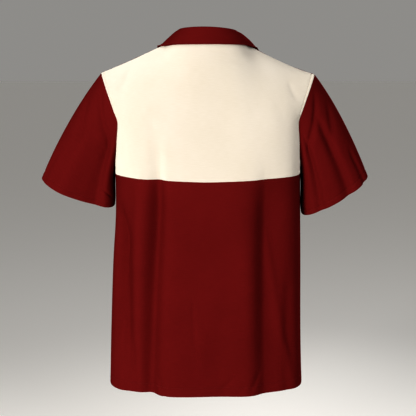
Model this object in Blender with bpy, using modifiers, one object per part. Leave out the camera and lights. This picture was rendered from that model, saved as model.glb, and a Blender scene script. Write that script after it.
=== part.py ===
"""A short-sleeved camp-collar shirt with a pale upper back, filled out and hollow as it is when worn.

The wearer's left is +X, the front faces -Y and the origin is the middle of the neck's base, where the
shoulders carry the shirt. Tables are in centimetres, as a pattern cutter writes them, and the solids are
in metres.
"""

import functools
import math

import bmesh
import bpy
import numpy as np
from mathutils import Matrix, Vector
from mathutils.bvhtree import BVHTree

CM = 0.01

# Cloth
WALL = 0.18
COLLAR_WALL = 0.2
HEM_EXTRA = 0.07
SEAM_GAP = 0.035
SLEEVE_GAP = 0.05

# Levels, down from the neck's base
HEM_Z = -71.9
HEM_LIFT = 0.6
YOKE_SEAM_SIDE_Z = -26.3
YOKE_SEAM_MID_Z = -27.05
UNDERARM_Z = -25.6
CHEST_Z = -15.0
HEM_BAND = 2.2

# Neck and shoulders
NECK_POINT = (8.2, -0.4, 1.0)
NAPE = (0.0, 7.0, 1.9)
NECK_SQUARE = 2.15
SHOULDER_POINT = (22.5, -0.6, -5.4)
SHOULDER_SAG = {"left": 0.08, "right": 0.55}
RIGHT_SHOULDER_DROP = 0.25

# Front opening
OVERLAP = 1.75
UNDERLAP_DEPTH = 0.33
UNDERLAP_RUN = 3.2

# Buttons
BUTTON_RADIUS = 0.6
BUTTON_THICKNESS = 0.26
BUTTON_FIRST_Z = -17.2
BUTTON_PITCH = 10.2
BUTTON_COUNT = 5
BUTTON_STAND_OFF = 0.06
BUTTON_HOLE_RADIUS = 0.09
BUTTON_HOLE_RING = 0.17
BUTTON_SIDES = 20
BUTTON_SIGHT = 30.0

# Grid sizes
BACK_COLUMNS = 30
FRONT_COLUMNS = 15
LOWER_ROWS = 11
UPPER_ROWS = 9
NECK_COLUMN = 9
CHEST_ROWS = 5
SLEEVE_RINGS = 9
ARC_SAMPLES = 120
ARMHOLE_EASE = 2.4

# The body's sections: half width, sideways shift, depth behind and before the side seam, squareness
TORSO = (
    ("z", "half_width", "shift", "back", "front", "square"),
    (-72.0, 20.8, 0.4, 12.9, 12.1, 2.8),
    (-60.0, 20.4, 0.45, 12.6, 12.0, 2.75),
    (-45.0, 20.0, 0.25, 12.6, 12.1, 2.7),
    (-34.0, 19.6, 0.0, 12.9, 12.4, 2.65),
    (-26.0, 19.6, 0.0, 13.1, 12.5, 2.65),
    (-15.0, 20.0, 0.0, 12.9, 11.9, 2.7),
)

# How far behind and before the side seam's line each armhole is cut, at levels above the underarm
ARMHOLE = (
    ("z", "back", "front"),
    (-25.6, 0.0, 0.0),
    (-25.1, 1.7, 1.8),
    (-24.2, 3.0, 3.2),
    (-22.4, 4.5, 4.8),
    (-19.5, 5.7, 6.1),
    (-15.0, 6.5, 6.9),
)

# Upper back, from the shoulder point (0) to the centre back (0.5): the way that the cloth would go on over
# the shoulder seam or the neckline
BACK_CROSSING = (
    ("at", "way_x", "way_y", "way_z"),
    (0.0, 0.1, -0.98, 0.2),
    (0.15, 0.0, -0.98, 0.2),
    (0.3, -0.02, -0.95, 0.3),
    (0.34, -0.08, -0.9, 0.42),
    (0.4, -0.08, -0.75, 0.66),
    (0.5, 0.0, -0.55, 0.83),
)

# The armhole's back edge: its way up from the chest line, and its way over the shoulder point
ARMHOLE_LEAVE = (0.36, 0.0, 1.0)
ARMHOLE_REACH = (0.1, -0.95, 0.16)

# Upper front, from the opening's edge (0) to the armhole (1): the cloth's way up from the chest line, its way
# over the shoulder seam, and how strongly the seam draws it
FRONT_RISE = (
    ("at", "leave_x", "leave_y", "leave_z", "reach_x", "reach_y", "reach_z", "pull"),
    (0.0, 0.46, 0.06, 0.89, 0.12, 0.9, 0.42, 0.92),
    (0.3, 0.22, 0.04, 0.97, 0.04, 0.97, 0.22, 0.92),
    (0.65, 0.08, 0.02, 1.0, 0.0, 0.99, 0.12, 0.92),
    (0.93, 0.1, 0.0, 1.0, 0.02, 0.99, 0.14, 0.92),
    (1.0, 0.3, 0.0, 1.0, 0.1, 0.98, 0.16, 0.92),
)

# Long soft folds of the body. Girth is measured along the cloth from the centre back, or from the centre
# front, and is positive on the wearer's left. Negative depth is a trough.
BACK_FOLDS = (
    ("girth_top", "z_top", "girth_low", "z_low", "width", "depth"),
    (10.6, -13.0, 13.4, -75.0, 1.9, -0.85),
    (16.2, -26.0, 17.0, -73.0, 1.6, 0.35),
    (5.8, -24.0, 7.6, -78.0, 3.0, 0.32),
    (-11.5, -20.0, -14.6, -78.0, 2.6, -0.5),
    (-17.4, -44.0, -18.6, -78.0, 1.5, -0.35),
    (-3.6, -46.0, -2.2, -80.0, 2.4, -0.25),
)
FRONT_FOLDS = (
    ("girth_top", "z_top", "girth_low", "z_low", "width", "depth"),
    (9.6, -14.0, 11.4, -78.0, 2.0, -0.7),
    (16.4, -34.0, 15.4, -78.0, 1.6, -0.35),
    (5.4, -36.0, 6.0, -78.0, 1.8, 0.25),
    (-10.2, -16.0, -9.2, -78.0, 2.0, -0.6),
    (-16.0, -30.0, -16.8, -78.0, 1.7, -0.4),
    (-5.6, -40.0, -5.0, -78.0, 1.6, 0.2),
)

# Each sleeve: the cuff's outermost and innermost points, half depth, drop of its back and front edges,
# and how full the cap is over the shoulder
SLEEVES = (
    ("side", "outer_x", "outer_z", "inner_x", "inner_z", "half_depth", "back_drop", "front_drop", "cap"),
    ("left", 35.3, -27.5, 19.95, -33.3, 5.2, 1.3, 0.7, 0.35),
    ("right", 33.9, -27.0, 19.95, -35.0, 5.2, 1.5, 0.8, 0.38),
)

# The cuff: how far its back and front lean in round the arm, how square its outline is, and its shift back
CUFF_WRAP = 0.75
CUFF_SQUARE = 2.3
CUFF_SHIFT = 0.3

# Folds of the sleeves, by the turn round the sleeve in degrees: 0 is the underarm, 90 the back, 180 the top
SLEEVE_FOLDS = (
    ("side", "turn_top", "turn_low", "start", "width", "depth"),
    ("left", 96.0, 74.0, 0.15, 11.0, -0.75),
    ("left", 128.0, 122.0, 0.45, 14.0, 0.25),
    ("left", 250.0, 262.0, 0.2, 13.0, -0.6),
    ("left", 318.0, 300.0, 0.3, 12.0, -0.3),
    ("right", 118.0, 112.0, 0.3, 9.0, -0.6),
    ("right", 84.0, 72.0, 0.2, 14.0, -0.35),
    ("right", 262.0, 254.0, 0.2, 12.0, -0.55),
    ("right", 306.0, 312.0, 0.4, 13.0, -0.35),
)

# Collar stations: place along the neck edge (0 at the front gorge, 1 at the neck point, 2 at the centre
# back), the top of the stand, the place on the body under the fall's edge, and the roundness of the fall
COLLAR = (
    ("place", "top_x", "top_y", "top_z", "edge_x", "edge_y", "edge_z", "bulge"),
    (0.0, 4.7, -7.6, -4.25, 11.3, -7.9, -7.6, 0.3),
    (0.35, 5.8, -5.7, -1.5, 12.0, -5.6, -4.6, 0.3),
    (0.7, 6.3, -3.2, 1.1, 11.3, -2.8, -1.6, 0.22),
    (1.0, 6.3, -0.7, 2.7, 9.9, 0.4, 0.5, 0.1),
    (1.3, 5.8, 2.6, 3.3, 8.2, 3.5, 0.9, 0.0),
    (1.65, 3.6, 5.4, 3.75, 5.1, 7.0, 1.0, 0.0),
    (2.0, 0.0, 6.2, 3.85, 0.0, 8.5, 1.1, 0.0),
)
COLLAR_ROLL = 0.3
COLLAR_RIGHT_DROP = 0.3

# The gorge, where the collar ends and the lapels begin, on a front's edge between the break (0) and the
# neck point (1)
GORGE = 5 / 9

# Lapel stations, from the gorge (0) down to the break of the opening (1)
LEFT_LAPEL = (
    ("place", "edge_x", "edge_y", "edge_z", "bulge"),
    (0.0, 10.3, -8.9, -9.0, 0.3),
    (0.35, 7.6, -10.4, -11.2, 0.28),
    (0.7, 3.7, -11.7, -13.6, 0.15),
    (1.0, 0.2, -12.1, -15.4, 0.02),
)
RIGHT_LAPEL = (
    ("place", "edge_x", "edge_y", "edge_z", "bulge"),
    (0.0, -10.3, -8.9, -9.2, 0.3),
    (0.35, -7.9, -10.3, -11.2, 0.28),
    (0.7, -4.9, -11.4, -13.3, 0.15),
    (1.0, -2.4, -11.9, -14.3, 0.05),
)
LAPEL_ROLL = 0.27
LAPEL_STATIONS = 12
LAPEL_START = {"left": 0.02, "right": 0.26}
NOTCH_GAP = 0.006

# How far the collar's and the lapels' faces lie off the body, and how often their sections are evened out
COLLAR_LIFT = 0.5
LAPEL_LIFT = 0.4
FLAP_EASING = 4
LAPEL_STAND = 0.12

COLOURS = {
    "maroon": ((0.12, 0.006, 0.007), 0.72),
    "cream": ((0.95, 0.87, 0.72), 0.72),
    "button": ((0.07, 0.008, 0.008), 0.3),
}


def rows_of(table):
    """The rows of a table as dictionaries of its named columns."""
    names = table[0]
    return [dict(zip(names, row)) for row in table[1:]]


def smooth(keys, values, at):
    """A smooth curve through the values at rising keys, held at both ends."""
    slopes = np.gradient(values, keys)
    at = float(np.clip(at, keys[0], keys[-1]))
    i = int(np.clip(np.searchsorted(keys, at) - 1, 0, len(keys) - 2))
    span = keys[i + 1] - keys[i]
    t = (at - keys[i]) / span
    return (
        (2 * t**3 - 3 * t**2 + 1) * values[i]
        + (t**3 - 2 * t**2 + t) * span * slopes[i]
        + (3 * t**2 - 2 * t**3) * values[i + 1]
        + (t**3 - t**2) * span * slopes[i + 1]
    )


@functools.lru_cache(maxsize=None)
def column(table, name, at):
    """One named column of a table, read smoothly between its rows."""
    rows = rows_of(table)
    keys = np.array([r[table[0][0]] for r in rows], float)
    return smooth(keys, np.array([r[name] for r in rows], float), at)


def step(low, high, x):
    t = min(max((x - low) / (high - low), 0.0), 1.0)
    return t * t * (3 - 2 * t)


def unit(v):
    v = np.asarray(v, float)
    return v / max(np.linalg.norm(v), 1e-9)


def hermite(a, leave, b, reach, t):
    """A point on the curve that leaves a along one vector and reaches b along another."""
    return (
        (2 * t**3 - 3 * t**2 + 1) * a
        + (t**3 - 2 * t**2 + t) * leave
        + (3 * t**2 - 2 * t**3) * b
        + (t**3 - t**2) * reach
    )


# ---- body sections ----


@functools.lru_cache(maxsize=None)
def half_section(z, face, hand):
    """The body's section at a level as a line from the middle of the back or front to the side seam."""
    square = column(TORSO, "square", z)
    half = column(TORSO, "half_width", z)
    shift = column(TORSO, "shift", z)
    depth = column(TORSO, face, z)
    turn = np.linspace(math.pi / 2, 0, ARC_SAMPLES)
    x = hand * half * np.abs(np.cos(turn)) ** (2 / square)
    y = depth * np.abs(np.sin(turn)) ** (2 / square)
    x[0] = 0.0
    y[-1] = 0.0
    line = np.stack([x + shift, y if face == "back" else -y, np.full_like(x, z)], axis=1)
    girth = np.r_[0, np.cumsum(np.linalg.norm(np.diff(line, axis=0), axis=1))]
    return line, girth


@functools.lru_cache(maxsize=None)
def armhole_girth(z, face, hand):
    """How much of the half section's girth the armhole takes away at a level."""
    line, girth = half_section(z, face, hand)
    if z <= UNDERARM_Z:
        return 0.0
    cut = column(ARMHOLE, face, z)
    reach = np.abs(line[:, 1])[::-1]
    return girth[-1] - float(np.interp(cut, reach, girth[::-1]))


def on_section(z, face, hand, girth):
    line, lengths = half_section(z, face, hand)
    return np.array([np.interp(girth, lengths, line[:, k]) for k in range(3)])


def fold_height(folds, girth, z):
    """How far the folds lift or sink the cloth at a girth and level."""
    height = 0.0
    for f in rows_of(folds):
        t = (f["z_top"] - z) / (f["z_top"] - f["z_low"])
        if t > 0:
            centre = f["girth_top"] + (f["girth_low"] - f["girth_top"]) * t
            width = f["width"] * (0.75 + 0.5 * t)
            height += f["depth"] * step(0, 0.35, t) * math.exp(-(((girth - centre) / width) ** 2))
    return height


def folded(place, folds, girth, z):
    outward = unit([place[0] * 0.35, place[1], 0])
    return place + outward * fold_height(folds, girth, z)


@functools.lru_cache(maxsize=None)
def back_low(share, z):
    """A point of the back up to the chest line: share 0 is the left side, 0.5 the middle and 1 the right."""
    across = 1 - 2 * share
    hand = 1 if across >= 0 else -1
    whole = half_section(z, "back", hand)[1][-1]
    girth = whole * abs(across) - armhole_girth(z, "back", hand) * abs(across) ** ARMHOLE_EASE
    return folded(on_section(z, "back", hand, girth), BACK_FOLDS, girth * hand, z)


@functools.lru_cache(maxsize=None)
def front_low(side, share, z):
    """A point of one front up to the chest line: share 0 is the opening's edge and 1 the side."""
    hand = 1 if side == "left" else -1
    whole = half_section(z, "front", hand)[1][-1]
    girth = -OVERLAP + (whole + OVERLAP) * share - armhole_girth(z, "front", hand) * share**ARMHOLE_EASE
    if girth < 0:
        place = on_section(z, "front", -hand, -girth)
    else:
        place = on_section(z, "front", hand, girth)
    if side == "right":
        sunk = UNDERLAP_DEPTH * (1 - step(OVERLAP + 0.15, OVERLAP + UNDERLAP_RUN, girth))
        place = place + np.array([0, sunk, 0])
    return folded(place, FRONT_FOLDS, girth * hand, z)


def normal_of(surface, u, v):
    """The outward normal of a surface whose first way runs rightwards and second way upwards."""
    a = surface(max(u - 0.004, 0.0), v)
    b = surface(min(u + 0.004, 1.0), v)
    c = surface(u, v - 0.02)
    d = surface(u, v + 0.02)
    return unit(np.cross(b - a, d - c))


# ---- upper body ----


def shoulder(side, share):
    """A point of the shoulder seam, from the neck point (0) to the shoulder point (1)."""
    a, b = np.array(NECK_POINT), np.array(SHOULDER_POINT)
    place = a + (b - a) * share
    place[2] -= SHOULDER_SAG[side] * 4 * share * (1 - share)
    if side == "right":
        place[0] *= -1
        place[2] -= RIGHT_SHOULDER_DROP
    return place


@functools.lru_cache(maxsize=None)
def neck_curve():
    """The back neckline as a fine line of points from the left neck point to the right one."""
    left, right, nape = shoulder("left", 0), shoulder("right", 0), np.array(NAPE)
    points = []
    for turn in np.linspace(0, math.pi, 2 * ARC_SAMPLES + 1):
        across, behind = abs(math.cos(turn)) ** (2 / NECK_SQUARE), math.sin(turn) ** (2 / NECK_SQUARE)
        side = left if turn < math.pi / 2 else right
        lift = (nape[2] - side[2]) * behind**1.3
        points.append([side[0] * across, side[1] + (nape[1] - side[1]) * behind, side[2] + lift])
    return np.array(points)


def neckline(share):
    """A point of the back neckline, from the left neck point (0) to the right one (1)."""
    line = neck_curve()
    gone = np.r_[0, np.cumsum(np.linalg.norm(np.diff(line, axis=0), axis=1))]
    return np.array([np.interp(share * gone[-1], gone, line[:, k]) for k in range(3)])


def back_top(share):
    """The upper edge of the back: left shoulder seam, neckline, right shoulder seam."""
    neck = NECK_COLUMN / BACK_COLUMNS
    if share <= neck:
        return shoulder("left", 1 - share / neck)
    if share >= 1 - neck:
        return shoulder("right", (share - 1 + neck) / neck)
    return neckline((share - neck) / (1 - 2 * neck))


def relaxed(grid, below, above, tall, wide):
    """The grid with its inside filled so that the cloth bends as little as it can between its edges.
    Below and above are the rows that the cloth would run on to; tall and wide are the usual spacings."""
    full = np.vstack([[below], grid, [above]])
    rows, columns = full.shape[:2]
    free = {}
    for i in range(2, rows - 2):
        for j in range(1, columns - 1):
            free[i, j] = len(free)
    terms = []
    for i in range(rows):
        for j in range(columns):
            if 0 < i < rows - 1:
                terms.append((tall**-2, {(i - 1, j): 1, (i, j): -2, (i + 1, j): 1}))
            if 0 < j < columns - 1:
                terms.append((wide**-2, {(i, j - 1): 1, (i, j): -2, (i, j + 1): 1}))
            if i < rows - 1 and j < columns - 1:
                corners = {(i, j): 1, (i + 1, j): -1, (i, j + 1): -1, (i + 1, j + 1): 1}
                terms.append((2**0.5 / (tall * wide), corners))
    matrix = np.zeros((len(terms), len(free)))
    known = np.zeros((len(terms), 3))
    for row, (weight, parts) in enumerate(terms):
        for place, factor in parts.items():
            if place in free:
                matrix[row, free[place]] += weight * factor
            else:
                known[row] -= weight * factor * full[place]
    found = np.linalg.solve(matrix.T @ matrix, matrix.T @ known)
    for place, k in free.items():
        full[place] = found[k]
    return full[1:-1]


def armhole_curve(side, t):
    """The back edge of an armhole from the chest line (0) to the shoulder point (1)."""
    hand = 1 if side == "left" else -1
    a, b = back_low(0.0 if side == "left" else 1.0, CHEST_Z), shoulder(side, 1)
    length = np.linalg.norm(b - a)
    leave, reach = unit(ARMHOLE_LEAVE) * length, unit(ARMHOLE_REACH) * length
    leave[0] *= hand
    reach[0] *= hand
    return hermite(a, leave, b, reach, t)


def back_above_chest(shares):
    """Rows of points of the back from the chest line up to the shoulder seams and the neckline."""
    grid = np.zeros((UPPER_ROWS + 1, len(shares), 3))
    tall = (SHOULDER_POINT[2] - CHEST_Z + NAPE[2] - CHEST_Z) / 2 / UPPER_ROWS * 1.2
    grid[0] = [back_low(s, CHEST_Z) for s in shares]
    grid[-1] = [back_top(s) for s in shares]
    for i in range(UPPER_ROWS + 1):
        grid[i, 0] = armhole_curve("left", i / UPPER_ROWS)
        grid[i, -1] = armhole_curve("right", i / UPPER_ROWS)
    below = np.array([back_low(s, CHEST_Z - tall) for s in shares])
    above = []
    for j, s in enumerate(shares):
        at = min(s, 1 - s)
        way = np.array([column(BACK_CROSSING, "way_" + k, at) for k in "xyz"])
        way[0] *= 1 if s < 0.5 else -1
        above.append(grid[-1, j] + unit(way) * tall)
    return relaxed(grid, below, np.array(above), tall, 1.55)


@functools.lru_cache(maxsize=None)
def directions(table, at, mirror):
    """The two leading directions of the upper body at a place, the second one scaled by its pull."""
    leave = np.array([column(table, "leave_" + k, at) for k in "xyz"])
    reach = np.array([column(table, "reach_" + k, at) for k in "xyz"])
    if mirror:
        leave[0] *= -1
        reach[0] *= -1
    return unit(leave), unit(reach) * column(table, "pull", at)


@functools.lru_cache(maxsize=None)
def front_high(side, share, t):
    """A point of one front between the chest line (0) and the shoulder seam (1)."""
    a, b = front_low(side, share, CHEST_Z), shoulder(side, share)
    leave, reach = directions(FRONT_RISE, share, side == "right")
    length = np.linalg.norm(b - a)
    return hermite(a, leave * length, b, reach * length, t)


# ---- panels as grids of points ----


def seam_line(share):
    """The level of the seam under the pale upper back."""
    across = abs(2 * share - 1)
    return YOKE_SEAM_MID_Z + (YOKE_SEAM_SIDE_Z - YOKE_SEAM_MID_Z) * math.sin(math.pi / 2 * across**1.3)


def hem_line(across):
    """The level of the hem, a little higher at the sides: across is 0 in the middle and 1 at the side."""
    return HEM_Z + HEM_LIFT * across**3


def chest_levels():
    """Levels from the underarm to the chest line, closer near the underarm."""
    shares = (np.arange(CHEST_ROWS + 1) / CHEST_ROWS) ** 1.5
    return UNDERARM_Z + (CHEST_Z - UNDERARM_Z) * shares


def rows_between(surface, shares, bottom, top, count):
    """Rows of points and normals between two lines of levels."""
    places, normals = [], []
    for i in range(count + 1):
        levels = [bottom(s) + (top(s) - bottom(s)) * i / count for s in shares]
        places.append([surface(s, z) for s, z in zip(shares, levels)])
        normals.append([normal_of(surface, s, z) for s, z in zip(shares, levels)])
    return places, normals


def rows_to_chest(surface, shares):
    places, normals = [], []
    for z in chest_levels()[1:]:
        places.append([surface(s, z) for s in shares])
        normals.append([normal_of(surface, s, z - 0.02) for s in shares])
    return places, normals


def shoulder_normal(side):
    way = unit(shoulder(side, 1) - shoulder(side, 0))
    return unit(np.array([0, 0, 1]) - way * way[2])


def grid_normals(grid, turned):
    """Outward normals of a grid whose rows run upwards, from its own points."""
    grid = np.array(grid)
    normals = np.cross(np.gradient(grid, axis=1), np.gradient(grid, axis=0))
    normals /= np.maximum(np.linalg.norm(normals, axis=2, keepdims=True), 1e-9)
    return [list(row) for row in (-normals if turned else normals)]


def drawn_in(rows, low=0.0, high=0.0, first=0.0, last=0.0):
    """The grid with its edges drawn in along the cloth, which leaves the gap at each seam."""
    rows = [[np.array(p) for p in row] for row in rows]
    for row in rows:
        row[0] = row[0] + unit(row[1] - row[0]) * first
        row[-1] = row[-1] + unit(row[-2] - row[-1]) * last
    for j in range(len(rows[0])):
        rows[0][j] = rows[0][j] + unit(rows[1][j] - rows[0][j]) * low
        rows[-1][j] = rows[-1][j] + unit(rows[-2][j] - rows[-1][j]) * high
    return rows


def wall_mesh(name, outer, inner, closed=False):
    """A cloth wall between two grids of points, closed round its edges, or a tube if closed. Each small
    patch is split along its shorter diagonal, which keeps slanting rows smooth."""
    rows, columns = len(outer), len(outer[0])
    span = columns if closed else columns - 1
    mesh = bpy.data.meshes.new(name)
    bm = bmesh.new()
    out = [[bm.verts.new(Vector(p) * CM) for p in row] for row in outer]
    back = [[bm.verts.new(Vector(p) * CM) for p in row] for row in inner]
    for i in range(rows - 1):
        for j in range(span):
            k = (j + 1) % columns
            rising = (out[i][j].co - out[i + 1][k].co).length < (out[i][k].co - out[i + 1][j].co).length
            for skin, turned in ((out, False), (back, True)):
                a, b, c, d = skin[i][j], skin[i][k], skin[i + 1][k], skin[i + 1][j]
                for corners in ((a, b, c), (a, c, d)) if rising else ((a, b, d), (b, c, d)):
                    bm.faces.new(corners[::-1] if turned else corners)
    for j in range(span):
        k = (j + 1) % columns
        bm.faces.new((out[0][j], back[0][j], back[0][k], out[0][k]))
        bm.faces.new((out[-1][j], out[-1][k], back[-1][k], back[-1][j]))
    if not closed:
        for i in range(rows - 1):
            bm.faces.new((out[i][0], out[i + 1][0], back[i + 1][0], back[i][0]))
            bm.faces.new((out[i][-1], back[i][-1], back[i + 1][-1], out[i + 1][-1]))
    if bm.calc_volume(signed=True) < 0:
        bmesh.ops.reverse_faces(bm, faces=bm.faces)
    bm.to_mesh(mesh)
    bm.free()
    return mesh


def thickness(z):
    """The wall's thickness, which grows over the turned hem."""
    return WALL + HEM_EXTRA * (1 - step(HEM_Z + HEM_BAND - 0.6, HEM_Z + HEM_BAND + 0.6, z))


def inner_of(outer, normals):
    return [
        [p - n * thickness(p[2]) for p, n in zip(row, leaning)] for row, leaning in zip(outer, normals)
    ]


def back_panels():
    """The dark lower back and the pale upper back, as grids of outer and inner points."""
    shares = [float(v) for v in np.linspace(0, 1, BACK_COLUMNS + 1)]
    half = SEAM_GAP / 2
    low, low_n = rows_between(back_low, shares, lambda s: hem_line(abs(2 * s - 1)), seam_line, LOWER_ROWS)
    low = drawn_in(low, high=half, first=half, last=half)
    seam, seam_n = rows_between(back_low, shares, seam_line, lambda s: UNDERARM_Z, 1)
    chest, chest_n = rows_to_chest(back_low, shares)
    top = [list(row) for row in back_above_chest(shares)]
    top_n = grid_normals(chest[-2:-1] + top, turned=False)[2:]
    for j in range(BACK_COLUMNS + 1):
        if j <= NECK_COLUMN:
            top_n[-1][j] = shoulder_normal("left")
        elif j >= BACK_COLUMNS - NECK_COLUMN:
            top_n[-1][j] = shoulder_normal("right")
    high = drawn_in(seam + chest + top[1:], low=half, high=half, first=half, last=half)
    return (low, inner_of(low, low_n)), (high, inner_of(high, seam_n + chest_n + top_n))


def front_panel(side):
    """One front, as grids of outer and inner points, its columns running towards the wearer's left."""
    shares = [float(v) for v in np.linspace(0, 1, FRONT_COLUMNS + 1)]

    def low_surface(s, z):
        return front_low(side, s, z)

    low, low_n = rows_between(low_surface, shares, hem_line, lambda s: UNDERARM_Z, LOWER_ROWS + 1)
    chest, chest_n = rows_to_chest(low_surface, shares)
    top = [[front_high(side, s, i / UPPER_ROWS) for s in shares] for i in range(UPPER_ROWS + 1)]
    top_n = grid_normals(chest[-2:-1] + top, turned=False)[2:]
    outer, normals = low + chest + top[1:], low_n + chest_n + top_n
    if side == "right":
        outer = [row[::-1] for row in outer]
        normals = [[-n for n in row[::-1]] for row in normals]
    normals[-1] = [shoulder_normal(side)] * len(shares)
    half = SEAM_GAP / 2
    edges = {"first": 0.0, "last": half} if side == "left" else {"first": half, "last": 0.0}
    outer = drawn_in(outer, high=half, **edges)
    return outer, inner_of(outer, normals)


# ---- sleeves ----


def armhole_ring(side, back, front):
    """The armhole's edge points with the body's outer normals and the ways out of the panels,
    from the underarm up the back to the shoulder point and down the front."""
    back_edge = 0 if side == "left" else -1
    front_edge = -1 if side == "left" else 0
    ring = []
    for (outer, inner), edge, beside, rising in (
        (back, back_edge, 1 if side == "left" else -2, True),
        (front, front_edge, -2 if side == "left" else 1, False),
    ):
        first = len(outer) - 1 - UPPER_ROWS - CHEST_ROWS
        stretch = []
        for i in range(first, len(outer)):
            place = outer[i][edge]
            stretch.append((place, unit(place - inner[i][edge]), unit(place - outer[i][beside])))
        ring += stretch[:-1] if rising else stretch[::-1][:-1]
        if rising:
            top = stretch[-1]
    ring.insert(UPPER_ROWS + CHEST_ROWS, top)
    return ring


def cuff_point(sleeve, turn):
    """A point of the cuff's edge at a turn round the sleeve, in degrees."""
    outer = np.array([sleeve["outer_x"], 0.0, sleeve["outer_z"]])
    inner = np.array([sleeve["inner_x"], 0.0, sleeve["inner_z"]])
    angle = math.radians(turn)
    cosine, sine = math.cos(angle), math.sin(angle)
    outwards = -math.copysign(abs(cosine) ** (2 / CUFF_SQUARE), cosine)
    behind = math.copysign(abs(sine) ** (2 / CUFF_SQUARE), sine)
    place = (outer + inner) / 2 + (outer - inner) / 2 * outwards
    place[1] += sleeve["half_depth"] * behind + CUFF_SHIFT
    drop = sleeve["back_drop"] if behind > 0 else sleeve["front_drop"]
    place[2] -= drop * abs(behind) ** 1.6
    place[0] -= CUFF_WRAP * abs(behind) ** 2 * (1 - outwards) / 2
    if sleeve["side"] == "right":
        place[0] *= -1
    return place


def sleeve_fold(side, turn, t):
    height = 0.0
    for f in rows_of(SLEEVE_FOLDS):
        if f["side"] == side:
            centre = f["turn_top"] + (f["turn_low"] - f["turn_top"]) * t
            grown = step(f["start"], 1.0, t)
            height += f["depth"] * grown * math.exp(-(((turn - centre) / f["width"]) ** 2))
    return height


def sleeve_wall(sleeve, back, front):
    """One sleeve from its armhole to its hem, as rings of outer and inner points."""
    side = sleeve["side"]
    ring = armhole_ring(side, back, front)
    hand = 1 if side == "left" else -1
    count = len(ring)
    places = np.array([r[0] for r in ring])
    steps = np.linalg.norm(np.roll(places, -1, axis=0) - places, axis=1)
    top = UPPER_ROWS + CHEST_ROWS
    gone = np.r_[0, np.cumsum(steps)]
    turns = [
        180 * gone[j] / gone[top] if j <= top else 180 + 180 * (gone[j] - gone[top]) / (gone[-1] - gone[top])
        for j in range(count)
    ]
    rings = []
    for i in range(SLEEVE_RINGS + 1):
        t = i / SLEEVE_RINGS
        row = []
        for (place, outward, away), turn in zip(ring, turns):
            low = abs(math.cos(math.radians(turn / 2))) ** 6
            start = place + away * SLEEVE_GAP * (1 - low) + outward * SLEEVE_GAP * 1.4 * low
            end = cuff_point(sleeve, turn)
            length = np.linalg.norm(end - start)
            crown = math.sin(math.radians(turn / 2)) ** 2
            leave = unit(end - start) + sleeve["cap"] * crown * unit([hand, 0, -0.35])
            leave = unit(leave + 0.35 * (1 - crown) * low * np.array([hand * 0.6, 0, 0]))
            reach = unit(np.array([hand * 0.34, 0, -1]) + 0.5 * unit(end - start))
            row.append(hermite(start, leave * length * 0.9, end, reach * length * 0.8, t))
        rings.append(row)
    skin = ring_normals(rings)
    for i, row in enumerate(rings):
        for j in range(count):
            row[j] = row[j] + skin[i][j] * sleeve_fold(side, turns[j], i / SLEEVE_RINGS)
    skin = ring_normals(rings)
    inner = []
    for i, row in enumerate(rings):
        lining = []
        for j, p in enumerate(row):
            inward = -skin[i][j]
            if i == 0:  # the cloth's cut edge lies along the panel's own where the sleeve carries it on
                agree = float(np.dot(ring[j][1], skin[i][j]))
                share = step(-0.45, 0.35, agree)
                inward = unit(inward * (1 - share) - ring[j][1] * share)
            hem = HEM_EXTRA if i >= SLEEVE_RINGS - 1 else 0.0
            lining.append(p + inward * (WALL + hem))
        inner.append(lining)
    return rings, inner


def ring_normals(rings):
    """Outward normals of a tube of rings."""
    grid = np.array(rings)
    round_way = np.roll(grid, -1, axis=1) - np.roll(grid, 1, axis=1)
    down = np.gradient(grid, axis=0)
    normals = np.cross(round_way, down)
    normals /= np.maximum(np.linalg.norm(normals, axis=2, keepdims=True), 1e-9)
    centre = grid.mean(axis=1, keepdims=True)
    facing = np.sign((normals * (grid - centre)).sum(axis=2).mean())
    return normals * facing


# ---- collar and lapels ----


def edge_frames(outer, inner, at, hand):
    """For places along a panel's rim: where a flap's visible and hidden faces start, just off the rim,
    and the way out of the panel."""
    outer, inner = np.array(outer), np.array(inner)
    rows = np.arange(len(outer))
    out = np.stack([np.interp(at, rows, outer[:, k]) for k in range(3)], axis=1)
    back = np.stack([np.interp(at, rows, inner[:, k]) for k in range(3)], axis=1)
    frames = []
    for point, under, way in zip(out, back, np.gradient(out, axis=0)):
        away = unit(np.cross(unit(point - under), unit(way))) * hand
        frames.append((under + away * SEAM_GAP * 1.5, point + away * SEAM_GAP * 1.5, away))
    return frames


def front_edge(side, panel, low, high, count):
    """Frames up a front's upper edge between two places of it (0 at the break, 1 at the neck point)."""
    outer, inner = panel
    column_at = 0 if side == "left" else -1
    first = len(outer) - 1 - UPPER_ROWS
    rims = [[row[column_at] for row in grid[first:]] for grid in (outer, inner)]
    at = np.linspace(low, high, count) * UPPER_ROWS
    return edge_frames(rims[0], rims[1], at, 1 if side == "left" else -1)


def neck_edge(back):
    """Frames round the back neckline, two to each column, from the left neck point to the right one."""
    outer, inner = (grid[-1][NECK_COLUMN : BACK_COLUMNS - NECK_COLUMN + 1] for grid in back)
    at = np.linspace(0, len(outer) - 1, 2 * (len(outer) - 1) + 1)
    return edge_frames(outer, inner, at, 1)


def kept_off(tree, place, lift):
    """The place itself, or moved out where it is nearer to the body's cloth than lift."""
    for _ in range(3):
        near, normal, _, gap = tree.find_nearest(Vector(place))
        height = float(np.dot(place - np.array(near), normal))
        beside_rim = abs(height) < 0.9 * gap
        if gap >= lift and (height > 0 or beside_rim):
            break
        place = place + np.array(normal) * (lift - height)
    return place


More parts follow.
